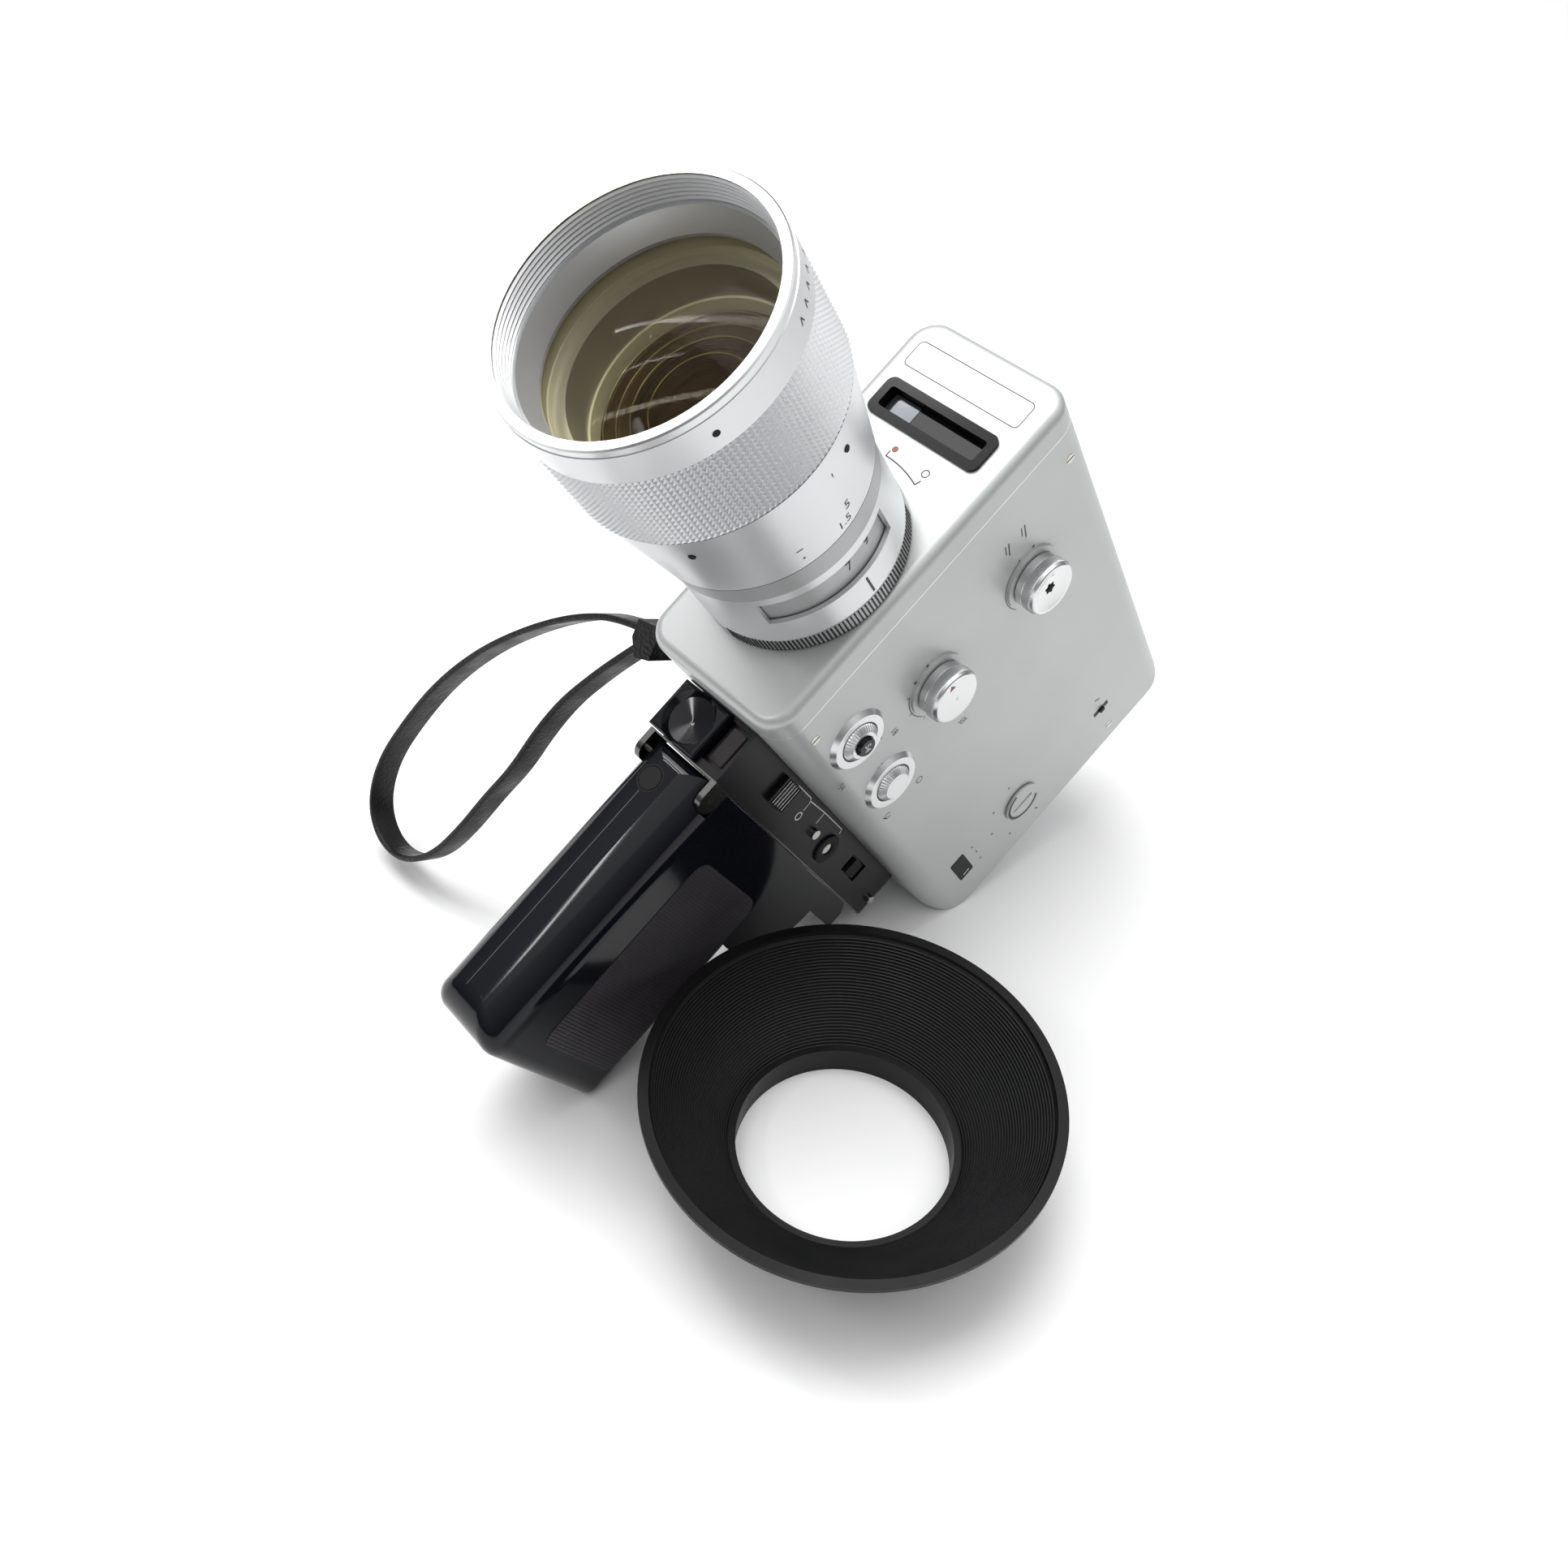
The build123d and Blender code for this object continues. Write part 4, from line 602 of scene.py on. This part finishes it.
def zoom_band():
    ribbed = lathe(
        "zoom_ribs", zoom_outline, "zoom", SATIN_BLACK, "ring_black",
        count=1280, relief=zoom_rib, smooth=25.0,
    )
    ribbed.data.materials.append(SATIN_BAND)
    for face in ribbed.data.polygons:
        place = CAMERA.inverted() @ face.center
        degrees = atan2(place.y, place.x) * 180 / pi
        if not RIB_FROM < degrees < RIB_TO:
            face.material_index = 1


zoom_band()


BARREL_Z, BARREL_LENGTH, BARREL_R, BARREL_FLARE = 192.8, 36.9, 30.2, 5.5
HOUSING_R, INDEX_R, SLEEVE_R, NAME_RING_R = 30.22, 30.02, 28.37, 36.22
RING_MARK_Z, SCREW_Z = 260, 222.5


def barrel_radius(z):
    """Radius of the focus barrel's cone."""
    return BARREL_R + (z - BARREL_Z) / BARREL_LENGTH * BARREL_FLARE


def ring_mark(name, shapes, angle, z, radius_at, body, material, slot):
    """Marks round a turned part: u runs along the surface from an angle, v along z."""
    def surface(u, v):
        height = z + v
        radius = radius_at(height) + PRINT
        turn = radians(angle) + u / radius
        return (radius * cos(turn), radius * sin(turn), height)
    return printed(name, shapes, body, material, slot, surface)


INK = ("focus", DARK_INK, "ring_black")
for name, text, size, angle, z in (
    ("feet_mark", "5", 4.2, 10, 207.6), ("metre_mark", "1.5", 3.9, 5.5, 203.2),
):
    ring_mark(name, words(text, size, (0, 0)), angle, z, barrel_radius, *INK)
ring_mark("unit_mark_a", line([(-0.9, 0), (0.9, 0)], 0.4), -17.5, 208, barrel_radius, *INK)
ring_mark("unit_mark_b", dot((0, 0), 0.35), -17.6, 204, barrel_radius, *INK)
ring_mark("barrel_tick", line([(0, -0.8), (0, 0.8)], 0.3), 9, 222, barrel_radius, *INK)
HOUSING_INK = ("casing", DARK_INK, "ring_black")
ring_mark(
    "distance_index", line([(0, -2.4), (0, 0)], 0.9), 1, 200.1, lambda z: HOUSING_R, *HOUSING_INK,
)
ring_mark("zoom_index", line([(0, -3.3), (0, 3.3)], 0.7), 1, 175.2, lambda z: INDEX_R, *HOUSING_INK)
ZOOM_INK = ("zoom", DARK_INK, "ring_black")
ring_mark("zoom_seven", words("7", 4.2, (0, 0)), -2, 185, lambda z: SLEEVE_R, *ZOOM_INK)
ring_mark("zoom_nine", words("9", 4.2, (0, 0)), 13, 186, lambda z: SLEEVE_R, *ZOOM_INK)
for number, angle in enumerate((-17.5, 102.5, 222.5)):
    ring_mark(f"set_screw_{number}", dot((0, 0), 0.75), angle, RING_MARK_Z, lambda z: NAME_RING_R, *INK)
for number, angle in enumerate((20.5, -54, 140)):
    ring_mark(f"barrel_screw_{number}", dot((0, 0), 1.0), angle, SCREW_Z, barrel_radius, *INK)
for number in range(5):
    strokes = line([(-0.7, -0.9), (0, 0.9), (0.7, -0.9)], 0.3)
    angle = 30 + number * 7
    ring_mark(f"ring_stroke_{number}", strokes, angle, RING_MARK_Z, lambda z: NAME_RING_R, *INK)

# ---------------------------------------------------------------- knobs and dials on the side
EXPOSURE_Y, APERTURE_Y, KNOB_Z = 41.3, 0.5, 118.5
DIAL_Y, SPEED_Z, FILTER_Z = -27.3, 131.5, 101.3
COUNTER_Y, COUNTER_Z = 3, 21
EXPOSURE_AT = axes_at(BODY_RIGHT, EXPOSURE_Y, KNOB_Z)
APERTURE_AT = axes_at(BODY_RIGHT, APERTURE_Y, KNOB_Z)
SPEED_AT = axes_at(BODY_RIGHT, DIAL_Y, SPEED_Z)
FILTER_AT = axes_at(BODY_RIGHT, DIAL_Y, FILTER_Z)
TEETH, TOOTH_DEPTH, TEETH_LOW, TEETH_HIGH, TEETH_R = 96, 0.28, 3.9, 6.7, 7.0
LOBES, LOBE_DEPTH, LOBE_FROM, LOBE_TO = 6, 0.28, 1.0, 2.4
FLUTES, FLUTE_DEPTH, FLUTE_LOW, FLUTE_HIGH, FLUTE_R = 40, 0.34, 1.0, 3.1, 4.4
BUTTON_BORE_R = 3.25


def knurling(angle, r, z):
    """Fine straight knurling round the rim of a knob."""
    if TEETH_LOW <= z <= TEETH_HIGH and r > TEETH_R:
        return -TOOTH_DEPTH * (0.5 + 0.5 * cos(TEETH * angle))
    return 0.0


def star(angle, r, z):
    """The knurled rim, and a six-lobed socket in the middle."""
    if LOBE_FROM < r < LOBE_TO:
        return LOBE_DEPTH * cos(LOBES * angle)
    return knurling(angle, r, z)


KNOB_SIDE = [
    (0.4, 1.35), (8.35, 1.35), (8.45, 1.5), (8.45, 3.5), (8.3, 3.65), (8.3, 3.8), (8.7, 3.95), (8.7, 5.2),
    (8.7, 6.6), (8.4, 6.85), (8.1, 7.7), (7.8, 7.95),
]
DISH = [(7.3, 8.0), (6.9, 7.85), (4.6, 7.2), (2.6, 6.95), (1.75, 6.9), (1.7, 5.4), (0.4, 5.4)]
exposure = lathe(
    "exposure_cap", KNOB_SIDE + DISH, "exposure_knob", BRIGHT, "lens_aluminium",
    EXPOSURE_AT, 576, star, 30.0,
)
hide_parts("exposure_knob")
lathe(
    "exposure_recess", [(0.05, 5.3), (1.9, 5.3), (1.9, 5.5), (0.05, 5.5)], "exposure_knob",
    MATTE_BLACK, "black_matte", EXPOSURE_AT, 48,
)
aperture = lathe(
    "aperture_cap", KNOB_SIDE + [(7.5, 8.0), (0.4, 8.0)], "aperture_knob", BRIGHT, "lens_aluminium",
    APERTURE_AT, 576, knurling, 30.0,
)
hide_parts("aperture_knob")
lathe(
    "aperture_face", [(0.0, 7.9), (0.5, 7.9), (0.5, 8.0), (0.0, 8.0)], "aperture_knob",
    BRIGHT, "lens_aluminium", APERTURE_AT, 32,
)


def on_knob(y, z, height):
    """The face of a knob: u and v run from its middle."""
    return lambda u, v: (BODY_RIGHT + height + PRINT, y + v, z - u)


printed("exposure_mark", [[(-5.6, 2.2), (-4.6, 1.7), (-4.3, 2.5), (-5.2, 3.0)]], "exposure_knob", RED_INK,
        "ring_black", on_knob(EXPOSURE_Y, KNOB_Z, 7.35))
printed("aperture_mark", [[(-7.0, 0.4), (-5.2, 1.6), (-5.2, -0.8)]], "aperture_knob", RED_INK,
        "ring_black", on_knob(APERTURE_Y, KNOB_Z, 8.0))

CAP_OUTLINE = [
    (0.0, 0.4), (6.2, 0.4), (6.2, 1.5), (6.0, 1.9), (4.6, 3.0), (4.3, 3.2), (0.0, 3.2),
]


def flutes(angle, r, z):
    """Flutes down the sides of a dial cap."""
    if FLUTE_LOW < z < FLUTE_HIGH and r > FLUTE_R:
        return -FLUTE_DEPTH * (0.5 + 0.5 * cos(FLUTES * angle))
    return 0.0


speed_outline = [(BUTTON_BORE_R, 0.4)] + CAP_OUTLINE[1:-1] + [(BUTTON_BORE_R, 3.2)]
speed = lathe(
    "speed_cap", speed_outline, "speed_dial", BRIGHT, "lens_aluminium", SPEED_AT, 400, flutes, 30.0,
)
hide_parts("speed_dial")
filter_cap = lathe(
    "filter_cap", CAP_OUTLINE, "filter_dial", BRIGHT, "bright_plate", FILTER_AT, 400, flutes, 30.0,
)
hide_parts("filter_dial")
printed("speed_number", words("54", 3.0, (0, 0), -25), "speed_button", WHITE_INK, "black_gloss",
        on_knob(DIAL_Y, SPEED_Z, 4.4))

# Marks printed on the side of the body; u runs towards its back, v up.
SIDE_MARKS = (
    dot((-129.1, 45.5), 0.5) + dot((-129.1, 1.0), 0.5) + dot((-121.8, -21.8), 0.45)
    + line([(-128.3, -4.9), (-127.2, -4.0)], 0.9)
    + line([(-140.5, 45.6), (-135.6, 44.6)], 0.5) + line([(-140.5, 44.3), (-137.2, 43.6)], 0.4)
    + line([(-140.2, 38.9), (-135.4, 37.8)], 0.5) + line([(-140.2, 37.6), (-136.8, 36.9)], 0.4)
    + line(arc((-118.5, 41.3), 10.7, 188, 305), 0.28)
    + line([(-129.1, 39.8), (-130.1, 39.6)], 0.35)
    + line(arc((-118.5, 0.5), 10.9, 235, 312), 0.3)
    + line([(-124.8, -8.4), (-125.4, -9.4)], 0.35) + line([(-118.0, -10.2), (-118.0, -11.4)], 0.35)
    + line([(-111.2, -7.6), (-110.6, -8.6)], 0.35)
    + line(arc((-91.7, 1.1), 1.1, 0, 360), 0.25, True) + line([(-93.0, -0.6), (-90.4, 2.8)], 0.25)
    + words("18", 3.2, (-118.6, -17.6)) + words("24", 3.0, (-110.4, -27.0))
    + words("54", 3.2, (-120.0, -39.4))
    + line(arc((-87.4, -20.3), 1.2, 0, 360), 0.3, True)
    + line([(-28.6, 43.6), (-27.6, 45.6)], 0.6)
    + line([(-23.8, 7.0), (-22.6, 8.0)], 0.6) + line([(-7.4, 6.0), (-6.2, 6.9)], 0.6)
    + dot((-34.6, 1.9), 0.5) + dot((-30.8, -7.2), 0.5) + dot((-20.5, -11.8), 0.5) + dot((-9.5, -6.5), 0.5)
    + dot((-25.1, -1.8), 0.5) + dot((-15.5, -1.2), 0.5) + dot((-15.7, 3.7), 0.5)
    + dot((-25.8, -20.1), 0.45) + dot((-14.9, -19.9), 0.45) + line([(-21.6, -19.7), (-20.0, -19.7)], 0.4)
    + line(arc((-87.4, -34.5), 1.1, 100, 400), 0.3) + line([(-88.4, -36.2), (-86.6, -35.4)], 0.4)
)
printed("counter_arc", line(arc((0, 0), 6.5, 188, 423), 1.1), "counter_dial", DARK_INK, "ring_black",
        on_knob(COUNTER_Y, COUNTER_Z, 1.1))
printed("side_marks", SIDE_MARKS, "casing", GREY_INK, "ring_black", on_side)


# ---------------------------------------------------------------- body
def loop_band(name, width, height, corner, centre, low, high, proud, body, material, slot):
    """A thin band standing proud round a rounded rectangle."""
    outer = rounded(width + 2 * proud, height + 2 * proud, corner + proud, centre)
    inner = rounded(width - 0.6, height - 0.6, corner - 0.3, centre)
    size = len(outer)
    points = [(x, y, z) for ring in (outer, inner) for z in (low, high) for x, y in ring]
    faces = []
    for k in range(size):
        nxt = (k + 1) % size
        for a, b in ((0, 1), (1, 3), (3, 2), (2, 0)):
            near, far = a * size, b * size
            faces.append((near + k, near + nxt, far + nxt, far + k))
    return shape(name, points, faces, body, material, slot)


BODY_LEFT, BODY_FOOT, BODY_TOP = -22.8, -44.5, 74.3
BODY_CORNER, SEAM_Z, SEAM_HALF, SEAM_PROUD = 8.5, 155.8, 0.16, 0.03
NAMEPLATE_Z = 164.6
# The cover seam is drawn as a thin pale band standing proud of the silver: a painted highlight along the
# seam edge.
SEAM_PAINTED_HIGHLIGHT = speckled("seam_highlight", (0.82, 0.83, 0.83), 0.3, 0.6, 2500.0, 0.1, 0.01, 0.02)
loop_band(
    "cover_seam_painted_highlight", BODY_RIGHT - BODY_LEFT, BODY_TOP - BODY_FOOT, BODY_CORNER,
    ((BODY_RIGHT + BODY_LEFT) / 2, (BODY_TOP + BODY_FOOT) / 2),
    SEAM_Z - SEAM_HALF, SEAM_Z + SEAM_HALF, SEAM_PROUD, "casing", SEAM_PAINTED_HIGHLIGHT, "silver_paint",
)
plate_edge = rounded(42.0, 8.4, 1.6, (3.8, 62.2))
printed("nameplate_line", line(plate_edge, 0.3, True), "casing", DARK_INK, "ring_black",
        lambda u, v: (u, v, NAMEPLATE_Z + PRINT))
FRONT_MARKS = (
    line(arc((0, 0), 33.6, 91, 68), 0.4) + line([(-0.6, 33.5), (-0.65, 35.4)], 0.4)
    + line([(12.6, 31.1), (13.3, 32.9)], 0.4)
)
printed("front_bracket", FRONT_MARKS, "casing", DARK_INK, "ring_black", on_front)
FRONT_CIRCLE = line(arc((12.9, 35.2), 1.1, 0, 360), 0.35, True)
printed("front_circle", FRONT_CIRCLE, "casing", GREY_INK, "ring_black", on_front)
printed("red_dot", dot((0.3, 36.4), 0.95), "casing", RED_INK, "ring_black", on_front)
WINDOW_GREY = speckled("window_mirror", (0.07, 0.075, 0.08), 0.12, 0.6, 900.0, 0.05, 0.02, 0.01)
slab(
    "window_insert", rounded(9.6, 6.0, 0.6, (-8.6, 47.6)), 161.95, 162.05, 0.04,
    "casing", WINDOW_GREY, "window_glass",
)

# ---------------------------------------------------------------- remote block
BLOCK_RIGHT, SLIDE_RIGHT, PANE_PROUD = 17.2, 18.82, 0.12
slab(
    "meter_pane", rounded(13.6, 6.0, 0.3, (-21, -27)), -0.3, PANE_PROUD, 0.08,
    "casing", BEZEL_BLACK, "window_glass", axes_at(BODY_RIGHT, 0, 0),
)
printed("meter_needle", line([(-16.4, -25.4), (-16.2, -28.2)], 0.5), "casing", WHITE_INK, "window_glass",
        lambda u, v: (BODY_RIGHT + PANE_PROUD + PRINT, v, -u))


def on_block(u, v):
    return (BLOCK_RIGHT + PRINT, v, -u)


BLOCK_LINES = (
    line([(-114.0, -46.2), (-103.6, -46.1), (-102.2, -47.6), (-102.2, -50.3)], 0.35)
    + line([(-103.0, -46.9), (-91.5, -46.2), (-91.2, -50.4)], 0.35)
    + line([(-91.5, -46.2), (-76.4, -46.0), (-75.6, -47.6)], 0.35)
    + line(arc((-102.1, -52.5), 1.3, 0, 360), 0.45, True)
)
printed("block_lines", BLOCK_LINES, "casing", WHITE_INK, "black_gloss", on_block)
SOCKET_AT = axes_at(BLOCK_RIGHT, -53.6, 76)
lathe(
    "socket_recess", [(2.0, -0.1), (5.0, -0.1), (5.0, 0.75), (4.6, 0.9), (2.3, 0.9), (2.0, 0.7)],
    "casing", MATTE_BLACK, "black_matte", SOCKET_AT, 48,
)
SLIDE_MIDDLE, SLIDE_PITCH = -118, 1.6
SLIDE_LINES = []
for step in range(-2, 3):
    u = SLIDE_MIDDLE + step * SLIDE_PITCH
    SLIDE_LINES += line([(u, -55), (u, -47)], 0.3)
printed("slide_lines", SLIDE_LINES, "slide_switch", WHITE_INK, "black_gloss",
        lambda u, v: (SLIDE_RIGHT + PRINT, v, -u))
WINDOW_TINT = coated_glass("meter_tint", (0.10, 0.08, 0.09), (0.03, 0.022, 0.026), 0.3)
slab(
    "block_window", rounded(6.0, 11.0, 0.8, (11.8, -52.5)), 146.25, 147.0, 0.2,
    "casing", WINDOW_TINT, "window_glass",
)

# ---------------------------------------------------------------- grip
GRIP_RIGHT, GRIP_FRONT, GRIP_PANEL_PROUD = 17.3, 147.85, 0.22
slab(
    "grip_panel_right", rounded(40, 68, 5, (-106, -114)), -0.1, GRIP_PANEL_PROUD, 0.1,
    "grip", GRIP_PANEL, "black_gloss", axes_at(GRIP_RIGHT, 0, 0),
)
printed("grip_seam", line([(0.3, -77), (0.3, -147)], 0.22), "grip", GREY_INK, "black_gloss",
        lambda u, v: (u, v, GRIP_FRONT + PRINT))
RING_AT = frame_matrix(spot(0.4, -72.5, GRIP_FRONT), ACROSS, UPWARD, FORWARD)
lathe(
    "button_ring", [(3.7, -0.2), (4.15, -0.2), (4.15, 0.06), (3.7, 0.06)], "grip",
    MATTE_BLACK, "black_matte", RING_AT, 64,
)

# ---------------------------------------------------------------- hood
hood_low, hood_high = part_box("lens_hood")
hood_middle = Vector((*hood_low[:2], 0)) / 2 + Vector((*hood_high[:2], 0)) / 2
HOOD_AT = frame_matrix(hood_middle, Vector((1, 0, 0)), Vector((0, 1, 0)), Vector((0, 0, 1)))
GROOVES = 34
CONE_R_LOW, CONE_R_HIGH, CONE_Z_LOW, CONE_Z_HIGH = 34.2, 57.1, 9.6, 34.4
groove_outline = []
for step in range(GROOVES):
    share = step / GROOVES
    r = CONE_R_LOW + (CONE_R_HIGH - CONE_R_LOW) * share
    z = CONE_Z_LOW + (CONE_Z_HIGH - CONE_Z_LOW) * share
    groove_outline += [(r - 0.22, z + 0.24), (r + 0.20, z + 0.38)]
groove_outline += [(57.25, 34.62), (57.9, 34.62), (34.6, 9.4)]
lathe("hood_grooves", groove_outline, "hood", HOOD, "hood_black", HOOD_AT, 200, smooth=10.0)

# ---------------------------------------------------------------- floor and light
REACH = 3.0
floor_mesh = bpy.data.meshes.new("table_top")
floor_mesh.from_pydata(
    [(-REACH, -REACH, 0), (REACH, -REACH, 0), (REACH, REACH, 0), (-REACH, REACH, 0)],
    [], [(0, 1, 2, 3)],
)
floor_finish, floor_tree, floor_surface = shader("table_paper", (0.93, 0.93, 0.93), 0.6)
paper = texture(floor_tree, "ShaderNodeTexNoise", 300.0, Detail=4.0)
bump(floor_tree, floor_surface, paper.outputs["Fac"], 0.1, 0.1)
floor_mesh.materials.append(floor_finish)
table_top = bpy.data.objects.new("table_top", floor_mesh)
bpy.context.scene.collection.objects.link(table_top)

world = bpy.data.worlds.new("soft_room")
bpy.context.scene.world = world
world.use_nodes = True
room = world.node_tree
sky = room.nodes.new("ShaderNodeTexCoord")
split = room.nodes.new("ShaderNodeSeparateXYZ")
fade = room.nodes.new("ShaderNodeValToRGB")
stops = fade.color_ramp.elements
stops[0].position = 0.35
stops[0].color = (0.40, 0.40, 0.412, 1)
for position, grey, blue in ((0.52, 0.16, 0.1648), (0.75, 0.45, 0.4635)):
    stops.new(position).color = (grey, grey, blue, 1)
scaled = room.nodes.new("ShaderNodeMapRange")
scaled.inputs["From Min"].default_value = -1.0
room.links.new(sky.outputs["Generated"], split.inputs["Vector"])
room.links.new(split.outputs["Z"], scaled.inputs["Value"])
room.links.new(scaled.outputs["Result"], fade.inputs["Fac"])
room.links.new(fade.outputs["Color"], room.nodes["Background"].inputs["Color"])
room.nodes["Background"].inputs["Strength"].default_value = 0.9

bpy.context.scene.view_settings.view_transform = "Standard"
AIM = Vector((0.0, 0.0, 0.12))
for name, place, size, watts in (
    ("top_softbox", (-0.45, 0.1, 1.6), (1.2, 1.2), 19.0),
    ("strip_left", (-0.92, -0.22, 1.02), (0.022, 0.55), 1.3),
    ("strip_right", (-0.86, -0.48, 1.08), (0.018, 0.42), 1.0),
    ("strip_front", (-0.45, -0.8, 0.9), (0.4, 0.05), 1.4),
):
    lamp = bpy.data.lights.new(name, "AREA")
    lamp.shape = "RECTANGLE"
    lamp.size, lamp.size_y = size
    lamp.energy = watts
    holder = bpy.data.objects.new(name, lamp)
    holder.location = place
    holder.rotation_euler = (AIM - Vector(place)).to_track_quat("-Z", "Y").to_euler()
    bpy.context.scene.collection.objects.link(holder)

ceiling = bpy.data.lights.new("ceiling", "SUN")
ceiling.energy = 0.7
ceiling.angle = radians(90)
holder = bpy.data.objects.new("ceiling", ceiling)
bpy.context.scene.collection.objects.link(holder)
